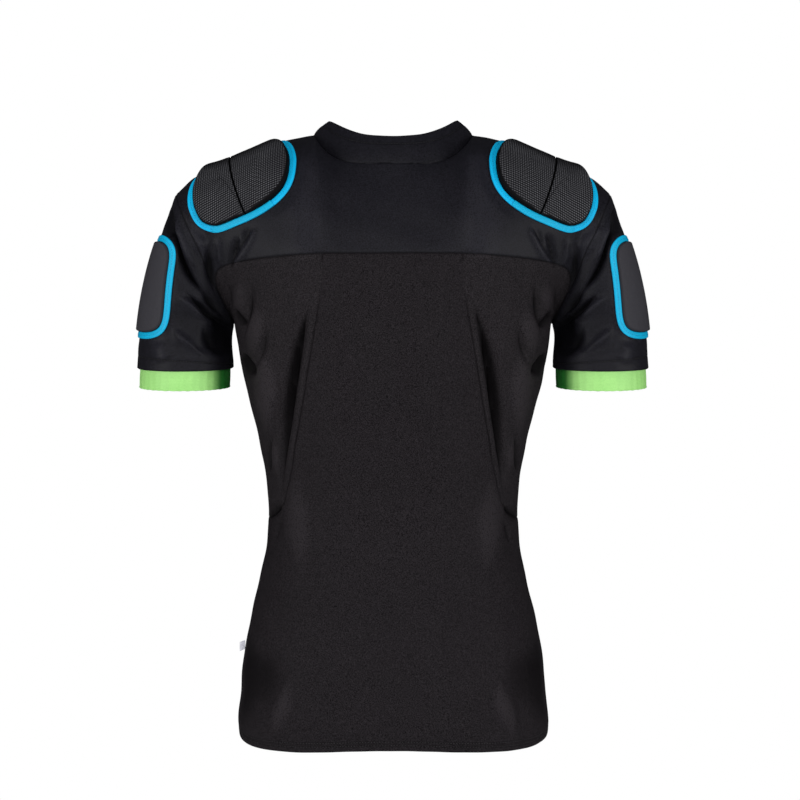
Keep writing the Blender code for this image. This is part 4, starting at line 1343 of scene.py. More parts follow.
    def ease_neck(self, place: Array, u: Array, v: Array) -> Array:
        """Smooth the corner that runs down the yoke from the neck point."""
        share = np.exp(-(((np.abs(u) - self.body.neck_share) / self.neck_ease) ** 2))
        share = share * ease(v, *self.neck_low) * ease(v, *self.neck_high)
        for _ in range(self.neck_passes):
            middle = 0.5 * (place[2:] + place[:-2])
            place = place.copy()
            place[1:-1] += 0.5 * share[1:-1, :, None] * (middle - place[1:-1])
        return place

    def back(self) -> tuple[Lattice, Array]:
        """Back half of the body, and the rows of its armhole."""
        beyond = 1.0 + self.side_columns()
        middle = self.middle_columns()
        positions = join([-beyond[::-1], middle, beyond])
        low = np.array([self.lower_rows(position) for position in positions])
        seam = np.full(positions.shape, self.yoke_first_rise)
        for _ in range(self.yoke_passes):
            seam = self.yoke_rise(self.back_column(positions, 1.0 + seam))
        upper = seam[:, None] * self.steps(self.upper_length.back, False, True)[None, 1:]
        yoke = blend(seam[:, None], 1.0, self.steps(self.yoke_length.back, True, True)[None, 1:])
        v = join([low, 1.0 + upper, 1.0 + yoke], axis=1)
        u = self.back_column(np.broadcast_to(positions[:, None], v.shape), v)
        place = self.ease_neck(self.body.at(Sheet.BACK, u, v), u, v)
        panels = self.named(place, "back_panel")
        side_row = len(self.hem_band()) + len(self.lower_steps()) - 2
        panels[: len(beyond), side_row:] = "side_panel_left"
        panels[-len(beyond) :, side_row:] = "side_panel_right"
        panels[:, low.shape[1] + upper.shape[1] - 1 :] = "yoke"
        return self.lay_half(place, panels, v)

    def front(self) -> tuple[Lattice, Array]:
        """Front half of the body, and the rows of its armhole."""
        share = self.body.neck_share
        beyond = blend(share, 1.0, self.side_columns())
        columns = join([-beyond[::-1], self.neck_columns() * share, beyond])
        low = self.lower_rows(2.0)
        seam = self.front_yoke_rise(columns)
        upper = seam[:, None] * self.steps(self.upper_length.front, False, True)[None, 1:]
        yoke = blend(seam[:, None], 1.0, self.steps(self.yoke_length.front, True, True)[None, 1:])
        rows = np.broadcast_to(low, (len(columns), len(low)))
        v = join([rows, 1.0 + upper, 1.0 + yoke], axis=1)
        u = np.broadcast_to(columns[:, None], v.shape)
        place = self.body.at(Sheet.FRONT, u, v)
        panels = self.named(place, "front_panel")
        between = 0.5 * (columns[1:] + columns[:-1])
        shoulder = np.abs(between) > self.front_yoke_neck_share * share
        panels[np.ix_(shoulder, np.arange(v.shape[1] - 1) >= len(low) + upper.shape[1] - 1)] = "yoke"
        return self.lay_half(place, panels, v)

    def sleeve_lattice(self, side: Side, turns: Array) -> Lattice:
        """Sleeve on the armhole's own points."""
        along = self.steps(self.sleeve_length, True, True, self.sleeve_rows)
        place = self.sleeve.at(side, turns[:, None], along[None, :])
        hem = 1.0 - self.sleeve_hem / self.sleeve_length
        share = ease(along, hem, self.sleeve_hem_ease)
        wall = np.broadcast_to(blend(self.cloth_thickness, self.hem_thickness, share), place.shape[:2])
        inside = np.broadcast_to(place.mean(axis=0, keepdims=True), place.shape)
        return self.lay(place, self.named(place, f"sleeve_{side.word}"), wall, inside)

    def collar_lattice(self) -> Lattice:
        """Collar ring on the neckline's own points."""
        share = self.steps(self.collar_height, True, True, (self.collar_row,))
        halves = []
        for sheet, angles in ((Sheet.BACK, self.middle_columns()), (Sheet.FRONT, -self.neck_columns())):
            angle = np.broadcast_to(angles[:, None] * math.pi / 2.0, (len(angles), len(share)))
            halves.append(self.body.collar(sheet, angle, np.broadcast_to(share, angle.shape)))
        place = join([halves[0], halves[1][1:]])
        wall = np.full(place.shape[:2], self.collar_thickness)
        return self.lay(place, self.named(place, "collar"), wall, place * np.array([0.0, 0.0, 1.0]))


@dataclass
class ClothSkin:
    """The whole cloth as one welded surface, creased and then cut into closed walls."""

    creases: CreaseField
    covered: KDTree
    rows: KDTree
    seam_depth: float = 0.0008
    seam_width: float = 0.0011
    row_depth: float = 0.0004
    row_width: float = 0.0008
    # Limits and share of the painted shade in troughs and the painted highlight on ridges.
    trough_limits: Span = (0.0012, 0.007)
    crest_limits: Span = (0.0005, 0.0042)
    crest_share: float = 1.35
    trough_cover: Span = (0.0008, 0.003)
    ridge_cover: Span = (0.0035, 0.011)
    rim_bulge: float = 0.45
    sleeve_reach: float = 0.174
    sleeve_foot: float = -0.32
    cuff_level: float = -0.254
    cuff_ease: float = 0.016
    hidden_low: Span = (-0.205, 0.03)
    hidden_high: Span = (-0.1445, -0.003)
    hidden_reach: float = 0.1
    neck_fade: Span = (-0.045, 0.01)
    neck_hidden: float = 0.7
    seam_parts: int = 4

    def folds(self, place: Array, normal: Array) -> Folds:
        """Creases of the cloth, which ease out under a pad and its tape and over a cuff.

        Args:
            place: Points on the smooth cloth.
            normal: Their outward normals.

        Returns:
            The creases that are left there.
        """
        away = np.array([self.covered.find(point)[2] for point in place])
        near, far = (ease(away, *cover) for cover in (self.trough_cover, self.ridge_cover))
        free = self.creases.at(place, normal)
        sleeve = (np.abs(place[:, 0]) > self.sleeve_reach) & (place[:, 2] > self.sleeve_foot)
        clear = np.where(sleeve, ease(place[:, 2], self.cuff_level, self.cuff_ease), 1.0)
        troughs = free.troughs * near * clear
        return Folds(troughs, free.ridges * far, free.tone * near, free.line, free.dark * near)

    def relief(self, place: Array, normal: Array) -> Array:
        """Height of the creased cloth over its smooth form."""
        folds = self.folds(place, normal)
        return folds.troughs + folds.ridges

    def weld(self, lattices: Sequence[Lattice]) -> None:
        """Join the lattices along their shared edges and crease the surface.

        Args:
            lattices: Grids of points whose edges meet.
        """
        parts = []
        edge_points = []
        count = 0
        for lattice in lattices:
            columns, rows = lattice.place.shape[:2]
            index = count + np.arange(columns * rows).reshape(columns, rows)
            local = grid_faces(columns, rows, False, False)
            flat = lattice.place.reshape(-1, 3)
            normal = np.cross(flat[local[:, 2]] - flat[local[:, 0]], flat[local[:, 3]] - flat[local[:, 1]])
            outward = flat[local[:, 0]] - lattice.inside.reshape(-1, 3)[local[:, 0]]
            if np.sum(normal * outward) < 0.0:
                local = local[:, ::-1]
            weave = lattice.weave.reshape(-1, 2)[local]
            parts.append((flat, count + local, weave, lattice.panels.ravel(), lattice.wall.ravel()))
            edge_points += [index[0], index[-1], index[:, 0], index[:, -1]]
            count += columns * rows
        self.place, self.faces, self.weave, self.panels, self.wall = map(join, zip(*parts))
        edge = np.unique(join(edge_points))
        tree = point_tree(self.place[edge])
        joined = np.arange(count)
        for index in edge:
            found = tree.find_range(self.place[index], WELD_DISTANCE)
            joined[index] = edge[min(hit[1] for hit in found)]
        self.faces = joined[self.faces]
        normal = self.normals()
        self.seam_nearness()
        folds = self.folds(self.place, normal)
        height = folds.troughs + folds.ridges
        row = np.array([self.rows.find(point)[2] for point in self.place])
        row = np.exp(-((row / self.row_width) ** 2))
        sunk = self.seam_depth * self.seam + self.row_depth * row
        # The crease value paints shade into troughs (below zero) and a highlight onto ridges (above zero);
        # the fold's dark value is painted shade along narrow troughs.
        low, deep = self.trough_limits
        raised, high = self.crest_limits
        crest = self.crest_share * ease(folds.tone, raised, high - raised)
        self.values = {
            "seam": np.maximum(self.seam, row),
            "crease": crest - ease(-folds.tone, low, deep - low),
            "fold_line": folds.line,
            "fold_dark": folds.dark,
        }
        self.place = self.place + normal * (height - sunk)[:, None]
        self.normal = self.normals()

    def normals(self) -> Array:
        """Outward normals of the surface at its points."""
        corner = self.place[self.faces]
        face = np.cross(corner[:, 2] - corner[:, 0], corner[:, 3] - corner[:, 1])
        total = np.zeros_like(self.place)
        for k in range(4):
            np.add.at(total, self.faces[:, k], face)
        return unit(total)

    def seam_nearness(self) -> None:
        """Store for each point how near it is to a seam, from 0 to 1."""
        pairs = np.stack([self.faces, np.roll(self.faces, -1, axis=1)], axis=-1).reshape(-1, 2)
        owner = np.repeat(np.arange(len(self.faces)), 4)
        keys = np.sort(pairs, axis=1)
        order = np.lexsort((keys[:, 1], keys[:, 0]))
        keys = keys[order]
        owner = owner[order]
        same = np.flatnonzero(np.all(keys[1:] == keys[:-1], axis=1))
        crossing = same[self.panels[owner[same]] != self.panels[owner[same + 1]]]
        self.sewn = np.unique(keys[crossing])
        start = self.place[keys[crossing, 0]]
        end = self.place[keys[crossing, 1]]
        shares = np.linspace(0.0, 1.0, self.seam_parts, endpoint=False)
        seam = join([blend(start, end, share) for share in shares])
        tree = point_tree(seam)
        away = np.array([tree.find(point)[2] for point in self.place])
        x, y, z = self.place.T
        hidden = ease(z, *self.hidden_low) * ease(z, *self.hidden_high)
        hidden = hidden * (np.abs(x) < self.hidden_reach) * (y < 0.0)
        hidden = np.maximum(hidden, self.neck_hidden * ease(z, *self.neck_fade))
        self.seam = np.exp(-((away / self.seam_width) ** 2)) * (1.0 - hidden)

    def panel(self, name: str) -> Piece:
        """Cut one panel out as a closed wall.

        Args:
            name: Name of the panel, and of the new piece with "_cloth" after it.

        Returns:
            The piece.
        """
        own = self.panels == name
        used, local = np.unique(self.faces[own], return_inverse=True)
        quads = local.reshape(-1, 4)
        weave = self.weave[own]
        count = len(used)
        place = self.place[used]
        normal = self.normal[used]
        start = quads.ravel()
        end = np.roll(quads, -1, axis=1).ravel()
        key = np.minimum(start, end) * count + np.maximum(start, end)
        _, index, times = np.unique(key, return_index=True, return_counts=True)
        rim = index[times == 1]
        a, b = start[rim], end[rim]
        face = rim // 4
        corner = rim % 4
        centre = place[quads].mean(axis=1)[face]
        direction = np.cross(normal[a], place[b] - place[a])
        direction *= np.sign(np.sum(direction * (centre - place[a]), axis=-1))[:, None]
        inward = np.zeros_like(place)
        np.add.at(inward, a, unit(direction))
        np.add.at(inward, b, unit(direction))
        inward = unit(inward)
        sewn = np.isin(used, self.sewn)
        wall = self.wall[used][:, None]
        outer = place + inward * np.where(sewn, 0.5 * SEAM_GAP, 0.0)[:, None]
        inner = outer - normal * wall
        bulge = np.where(sewn, 0.0, self.rim_bulge)[:, None] * wall
        edge = np.unique(join([a, b]))
        middle_of = np.zeros(count, int)
        middle_of[edge] = 2 * count + np.arange(len(edge))
        middle = (0.5 * (outer + inner) - inward * bulge)[edge]
        places = join([outer, inner, middle])
        rim_weave = np.stack([weave[face, (corner + 1) % 4], weave[face, corner]], axis=1)
        rim_weave = join([rim_weave, rim_weave[:, ::-1]], axis=1)
        faces = join(
            [
                quads,
                quads[:, ::-1] + count,
                np.stack([b, a, middle_of[a], middle_of[b]], axis=1),
                np.stack([middle_of[b], middle_of[a], a + count, b + count], axis=1),
            ]
        )
        weaves = join([weave, weave[:, ::-1], rim_weave, rim_weave])
        every = join([used, used, used[edge]])
        values = {key: value[every] for key, value in self.values.items()}
        return make_piece(f"{name}_cloth", places, faces, weave=weaves, values=values, face_out=False)


class PadShape(NamedTuple):
    """Outline of a pad with its tape, in shares of its chart."""

    centre_p: float
    centre_q: float
    reach_p: float
    reach_low: float
    reach_high: float
    square_low: float
    square_high: float
    lean: float
    taper: float
    corner_rise: float

    def outline(self, count: int) -> Line:
        """Closed outline in chart coordinates."""
        angle = np.linspace(0.0, 2.0 * math.pi, count, endpoint=False)
        across = np.cos(angle)
        down = np.sin(angle)
        squareness = np.where(down < 0.0, self.square_low, self.square_high)
        reach = (np.abs(across) ** squareness + np.abs(down) ** squareness) ** (-1.0 / squareness)
        raised = self.reach_low * (1.0 + self.corner_rise * reach * np.abs(across))
        along = np.where(down < 0.0, raised, self.reach_high) * reach * down
        sideways = self.reach_p * (1.0 - self.taper * along) * reach * across
        return self.centre_p + sideways, self.centre_q + along + self.lean * sideways


class Groove(NamedTuple):
    """Line between two pads of a set, in shares of its chart, and its width in metres."""

    at_ridge: float
    lean: float
    curve: float
    width: float

    def at(self, q: Array) -> Array:
        """Place of the groove along the ridge."""
        return self.at_ridge + self.lean * np.abs(q) ** self.curve


@dataclass
class PadSet:
    """Foam pads of one place on the garment, with the tape round them and its sewing.

    The tape's profile and the pad's edge hold shares of the width and of the thickness.
    """

    name: str
    shape: PadShape
    chart: Chart
    outward: float
    side: Side
    thickness: float
    rib_strength: float
    rib_lean: float
    rib_middle: float
    groove: Groove | None = None
    groove_edge: float = 0.35
    groove_fade: Span = (0.01, 0.05)
    neck_edge: float = 1.6
    neck_fade: Span = (0.62, -0.15)
    end_lift: float = 0.0
    end_along: Span = (0.74, 0.16)
    end_down: Span = (0.3, -0.2)
    plain_top: Span = (0.06, 0.34)
    wall_fade: Span = (-0.02, 0.02)
    rib_fade: Span = (-0.005, 0.03)
    tape_width: float = 0.0075
    tape_thickness: float = 0.0012
    tape_profile: tuple[Span, ...] = (
        (0.0, 0.0), (0.0, 0.55), (0.04, 0.82), (0.14, 0.97), (0.35, 1.05), (0.65, 1.05),
        (0.86, 0.97), (0.96, 0.82), (1.0, 0.55), (1.0, 0.0), (0.5, 0.0),
    )
    tape_middle: int = 4
    pad_gap: float = 0.0004
    cover_points: int = 150
    cover_rings: int = 22
    cover_least: float = 0.02
    under: tuple[float, ...] = (0.0, 0.35, 0.7, 1.0)
    fine: int = 400
    outline_points: int = 420
    rings: int = 40
    crown: float = 0.0008
    edge: tuple[Span, ...] = (
        (1.0, 0.45), (0.998, 0.66), (0.993, 0.83), (0.985, 0.94), (0.975, 0.99), (0.965, 1.0)
    )

    def frame(self, p: Array, q: Array) -> ChartFrame:
        """Points and normals of the cloth under the set."""
        return chart_frame(self.chart, p, q, self.outward)

    def outer_line(self, count: int) -> Line:
        """Outer edge of the tape."""
        return resample(self.chart, *self.shape.outline(self.fine), count, closed=True)

    def footprint(self) -> Array:
        """Points all over the place that the set covers."""
        p, q = self.outer_line(self.cover_points)
        shares = np.linspace(self.cover_least, 1.0, self.cover_rings)[:, None]
        return self.chart(blend(p.mean(), p, shares), blend(q.mean(), q, shares)).reshape(-1, 3)

    def pad_outlines(self) -> dict[str, Line]:
        """Outline of each pad, by the end of its name."""
        fine = self.outer_line(self.fine)
        p, q = shift_outline(self.chart, *fine, self.tape_width + self.pad_gap, self.outward)
        if self.groove is None:
            return {"": resample(self.chart, p, q, self.outline_points, closed=True)}
        ends = self.chart(np.array([0.0, 1.0]), np.zeros(2))
        half_gap = 0.5 * self.groove.width / np.linalg.norm(ends[1] - ends[0])
        made = {}
        for part, word in ((-1, "_inner"), (1, "_outer")):
            past = part * (p - self.groove.at(q)) - half_gap
            start = int(np.argmax((past > 0.0) & (np.roll(past, 1) <= 0.0)))
            edge_p, edge_q = np.roll(p, -start), np.roll(q, -start)
            keep = int(np.argmin(part * (edge_p - self.groove.at(edge_q)) - half_gap > 0.0))
            edge_p, edge_q = edge_p[:keep], edge_q[:keep]
            groove_q = np.linspace(edge_q[-1], edge_q[0], self.fine)[1:-1]
            edge_p = np.append(edge_p, self.groove.at(groove_q) + part * half_gap)
            edge_q = np.append(edge_q, groove_q)
            made[word] = resample(self.chart, edge_p, edge_q, self.outline_points, closed=True)
        return made

    def rib_places(self, place: Array, q: Array) -> Array:
        """Distance across the ribs, which run along the shoulder or down the arm."""
        line = np.linspace(-1.0, 1.0, self.fine + 1)
        middle = self.chart(np.full(line.shape, self.shape.centre_p), line)
        lean = math.tan(self.rib_lean) * (1.0 - np.sin((1.0 - np.abs(q)) * math.pi / 2.0))
        return np.interp(q, line, travel(middle)) + lean * (np.abs(place[..., 0]) - self.rib_middle)

    def wall_ease(self, p: Array, q: Array) -> Array:
        """Share of the side wall's slope along an outline: less at the groove, more by the neck."""
        if self.groove is None:
            return np.ones_like(p)
        beside = 1.0 - ease(np.abs(p - self.groove.at(q)), *self.groove_fade)
        wide = blend(1.0, self.neck_edge, ease(p, *self.neck_fade))
        return blend(wide, self.groove_edge, beside)

    def at_end(self, p: Array, q: Array) -> Array:
        """1 at the outer end of the shoulder's ridge, where the stiff foam stands off the rounding cloth."""
        return ease(p, *self.end_along) * ease(np.abs(q), *self.end_down)

    def pad(self, word: str, p: Array, q: Array) -> Piece:
        """One foam pad with a chamfered side wall, steeper at the groove, and a faint crown.

        Args:
            word: Part of the set that it is, as in its name.
            p: First coordinates of its outline.
            q: Second coordinates of its outline.

        Returns:
            The piece.
        """
        slope = self.wall_ease(p, q)
        wall = np.array([1.0 - (1.0 - share) * slope for share, _ in self.edge])
        last = wall[-1]
        inner = np.linspace(1.0, 0.0, self.rings + 1)[1:]
        under = np.array(self.under)[:, None] * np.ones_like(slope)
        shares = join([under, wall, inner[:, None] * last])
        risen = [height for _, height in self.edge]
        heights = join([np.zeros(len(under)), risen, np.ones(len(inner))])[:, None]
        ring_p = blend(np.mean(p), p, shares)
        ring_q = blend(np.mean(q), q, shares)
        frame = self.frame(ring_p, ring_q)
        crown = self.crown * np.where(heights >= 1.0, 1.0 - (shares / last) ** 2, 0.0)
        lift = PIECE_LIFT + (self.thickness + self.end_lift * self.at_end(ring_p, ring_q)) * heights + crown
        place = frame.place + frame.normal * lift[..., None]
        count = place.shape[1]
        body = place[1:-1].reshape(-1, 3)
        places = join([body, place[:1, 0], place[-1:, 0]])
        quads = grid_faces(len(shares) - 2, count, False, True)
        first = np.arange(count)
        second = (first + 1) % count
        top = len(body) - count
        low = np.stack([second, first, np.full(count, len(body))], axis=1)
        high = np.stack([first + top, second + top, np.full(count, len(body) + 1)], axis=1)
        # Share of painted shade on the side wall.
        side_wall = 1.0 - ease(last - shares, *self.wall_fade)
        start, full = self.plain_top
        strength = self.rib_strength * ease(last - shares, *self.rib_fade)
        strength = strength * ease(np.abs(ring_q), start, full - start)
        grids = {
            "rib_place": self.rib_places(frame.place, ring_q),
            "rib_along": frame.place[..., 0],
            "rib_strength": np.where(heights >= 1.0, strength, 0.0),
            "side_wall": np.where(heights > 0.0, side_wall, 1.0),
        }
        values = {key: join([g[1:-1].ravel(), g[0, :1], g[-1, :1]]) for key, g in grids.items()}
        name = f"{self.name}_pad{word}_{self.side.word}_foam"
        return make_piece(name, places, quads, join([low, high]), values=values)

    def tape(self, name: str, line: Line, width: float, lift: float, closed: bool) -> Piece:
        """Tape along the pad's edge.

        Args:
            name: Name of the piece.
            line: Coordinates of its outer edge.
            width: Width of the tape.
            lift: Height of its underside over the cloth.
            closed: Whether the tape runs all the way round.

        Returns:
            The piece.
        """
        inner = shift_outline(self.chart, *line, width, self.outward)
        if not closed:
            line, inner = ([part[1:-1] for part in edge] for edge in (line, inner))
        shares, heights = np.array(self.tape_profile).T[..., None]
        frame = self.frame(*(blend(*parts, shares) for parts in zip(line, inner)))
        place = frame.place + frame.normal * (lift + self.tape_thickness * heights)[..., None]
        rows, count = place.shape[:2]
        quads = grid_faces(rows, count, True, closed)
        along = np.broadcast_to(travel_round(place[self.tape_middle]), (rows, count))
        across = np.broadcast_to(np.minimum(shares, 1.0 - shares), (rows, count))
        triangles = None
        if not closed:
            rim = np.arange(rows) * count
            ends = []
            for end in (rim, rim + count - 1):
                ends.append(np.stack([end[1:-2], end[2:-1], np.full(rows - 3, end[0])], axis=1))
            triangles = join(ends)
        values = {"along": along, "across": across}
        return make_piece(name, place.reshape(-1, 3), quads, triangles, values=values)

    def sewing_line(self, pitch: float) -> tuple[Array, Array]:
        """Points and normals along the middle of the tape."""
        p, q = shift_outline(self.chart, *self.outer_line(self.fine), 0.5 * self.tape_width, self.outward)
        count = round(travel(self.chart(p, q))[-1] / pitch)
        frame = self.frame(*resample(self.chart, p, q, count, closed=True))
        top = self.tape_thickness * self.tape_profile[self.tape_middle][1]
        return frame.place + frame.normal * (PIECE_LIFT + top), frame.normal


@dataclass
class Sewing:
    """Rows of stitches as one piece for each thread colour."""

    name: str
    length: float
    width: float
    seed: int
    place: list[Array] = field(default_factory=list)
    thread: list[Array] = field(default_factory=list)
    out: list[Array] = field(default_factory=list)

    def row(self, place: Array, normal: Array, closed: bool = True) -> None:
        """Add a row of stitches along a line of points."""
        ahead, behind = np.roll(place, -1, axis=0), np.roll(place, 1, axis=0)
        if not closed:
            ahead[-1], behind[0] = place[-1], place[0]
        self.place.append(place)
        self.thread.append(unit(ahead - behind))
        self.out.append(normal)

    def build(self, finish: Material) -> Piece:
        """Make the stitches."""
        place, thread, out = map(join, (self.place, self.thread, self.out))
        values = {"thread": thread, "out": out}
        piece = make_piece(self.name, place, np.zeros((0, 4), int), values=values, face_out=False)
        stitch_tree(self.length, self.width, self.seed).run(piece, finish)
        return piece


RIB_PITCH = 0.0025
RIB_HEIGHT = 0.00042
STITCH_PITCH = 0.0031
STITCH_LENGTH = 0.0021
SHOULDER_SHAPE = PadShape(0.675, -0.39, 0.289, 0.226, 0.52, 3.1, 1.5, -0.06, 0.0, 0.0)
SHOULDER_GROOVE = Groove(0.721, -0.535, 3.2, 0.0018)
BICEP_SHAPE = PadShape(0.5, 0.515, 0.2205, 0.243, 0.315, 8.0, 4.2, 0.0, 0.18, 0.44)
KNIT = dict(roughness=0.65, speckle=2.2, wale=0.0013, relief=0.00018)
SLEEK = dict(roughness=0.48, speckle=2.0, wale=0.0009, relief=0.0001, gloss=0.09, seam_shade=0.85)
FINISHES = (
    KnitCloth("body_knit", (0.0016, 0.0012, 0.0016), (0.0186, 0.016, 0.0183), **KNIT),
    # The side panels' knit: lighter than the body knit, partly its own lightness and partly painted sheen.
    KnitCloth("side_knit", (0.0018, 0.0015, 0.0018), (0.0216, 0.0187, 0.0212), **KNIT),
    KnitCloth("smooth_stretch", (0.002, 0.0019, 0.0026), (0.0125, 0.0121, 0.0165), **SLEEK),
    PadCloth("ribbed_mesh", RIB_PITCH, (0.01, 0.01, 0.0115), (0.0022, 0.0022, 0.0026)),
    PadCloth("smooth_mesh", RIB_PITCH, (0.043, 0.042, 0.049), (0.026, 0.025, 0.029)),
    TapeCloth("blue_tape", (0.001, 0.132, 0.284), (0.002, 0.385, 0.675)),
    # A copy of the blue tape for the laps and bicep tapes, its colours retuned to their brightness: partly
    # painted light.
    TapeCloth("bright_blue_tape", (0.001, 0.15, 0.31), (0.002, 0.355, 0.585)),
    ElasticCloth("green_elastic"),
    PlainFinish("white_satin", (0.38, 0.38, 0.44), (0.62, 0.62, 0.68), 0.45, 400.0),
    PlainFinish("black_thread", (0.002, 0.002, 0.0024), (0.01, 0.01, 0.011), 0.6, 900.0),
    PlainFinish("blue_thread", (0.003, 0.1, 0.24), (0.005, 0.22, 0.45), 0.5, 900.0),
    PlainFinish("pale_floor", (0.78, 0.78, 0.78), (0.82, 0.82, 0.82), 0.8, 6.0),
)


@dataclass(frozen=True)
class CuffBand:
    """Elastic band in a sleeve's end, gathered into fine waves."""

    sleeve: SleeveForm
    profile: tuple[Span, ...] = (
        (0.0032, -0.006), (0.0032, 0.0), (0.0031, 0.0006), (0.0033, 0.0014), (0.0034, 0.003),
        (0.0033, 0.006), (0.0032, 0.01), (0.0032, 0.014), (0.0033, 0.018), (0.0034, 0.0206),
        (0.0032, 0.0216), (0.0029, 0.0224), (0.0032, 0.023), (0.004, 0.0232), (0.005, 0.0229),
        (0.005, 0.01), (0.005, -0.006),
    )
    points_round: int = 280
    waves: tuple[Triple, ...] = ((37.0, 1.0, 0.0), (23.0, 0.6, 1.0))
    wave_in: float = 0.00012
    wave_down: float = 0.00015
    shown: float = 0.023
    tucked: float = 0.006
    # Painted shade on the side that faces the body: where it fades in, and its most.
    deep_side: Span = (0.15, -0.07)
    deepest: float = 0.95

    def build(self, side: Side, finish: Material) -> None:
        """Make one band."""
        turn = np.linspace(0.0, 1.0, self.points_round, endpoint=False)
        wave = sum(size * np.sin(turn * 2.0 * math.pi * count + phase) for count, size, phase in self.waves)
        inset, drop = np.array(self.profile).T[..., None]
        sway = self.wave_down * np.maximum(drop, 0.0) / self.shown
        place = self.sleeve.end(side, turn, inset + self.wave_in * wave, drop + sway * wave)
        near_body = np.minimum(turn, 1.0 - turn)
        grids = {
            "along": travel_round(place[2]),
            "across": (drop + self.tucked) / (self.shown + self.tucked),
            # Painted shade on the side that faces the body.
            "body_side": self.deepest * ease(near_body, *self.deep_side),
        }
        values = {key: np.broadcast_to(grid, place.shape[:2]) for key, grid in grids.items()}
        quads = grid_faces(len(self.profile), len(turn), True, True)
        node = f"cuff_{side.word}"
        piece = make_piece(f"{node}_band", place.reshape(-1, 3), quads, values=values)
        enrol(piece, Slot.CUFF_ELASTIC, finish, node)


@dataclass(frozen=True)
class SideLabel:
    """Folded blank tape that stands out of the left side seam."""

    height: float = -0.58
    width: float = 0.0062
    length: float = 0.0105
    gauge: float = 0.0005
    clear: float = 0.0007
    loop: tuple[Span, ...] = ((0.0, 0.0011), (0.45, 0.0012), (0.8, 0.001), (0.96, 0.0006), (1.0, 0.0))
    rows: int = 9
    sag: float = 0.0026
    twist: Span = (0.0006, 3.0)
    curl: Span = (0.0004, 7.0)

    def fold(self) -> Array:
        """Closed section of the folded tape: share of its width, and distance from its middle."""
        outer = [*self.loop, *((share, -apart) for share, apart in self.loop[-2::-1])]
        bend = 1.0 - self.gauge / self.width
        inner = [(min(share, bend), apart - self.gauge * np.sign(apart)) for share, apart in outer]
        return np.array(outer + inner[::-1])

    def build(self, finish: Material) -> None:
        """Make the label."""
        edge = float(smooth_column(TORSO, "half_width", self.height)) + self.clear
        share, apart = self.fold().T
        row = np.linspace(-0.5, 0.5, self.rows)[:, None]
        (twist, twist_turns), (curl, curl_turns) = self.twist, self.curl
        y = apart + twist * np.sin(twist_turns * row) * share
        z = self.height + self.length * row - self.sag * share + curl * np.sin(curl_turns * row)
        place = points(-edge - self.width * share, y, z)
        count = len(share)
        caps = []
        for base in (0, (self.rows - 1) * count):
            for k in range(count // 2 - 1):
                caps.append((base + k, base + k + 1, base + count - 2 - k, base + count - 1 - k))
        quads = join([grid_faces(self.rows, count, False, True), caps])
        piece = make_piece("side_label_tape", place.reshape(-1, 3), quads)
        enrol(piece, Slot.LABEL_TAPE, finish, "side_label")


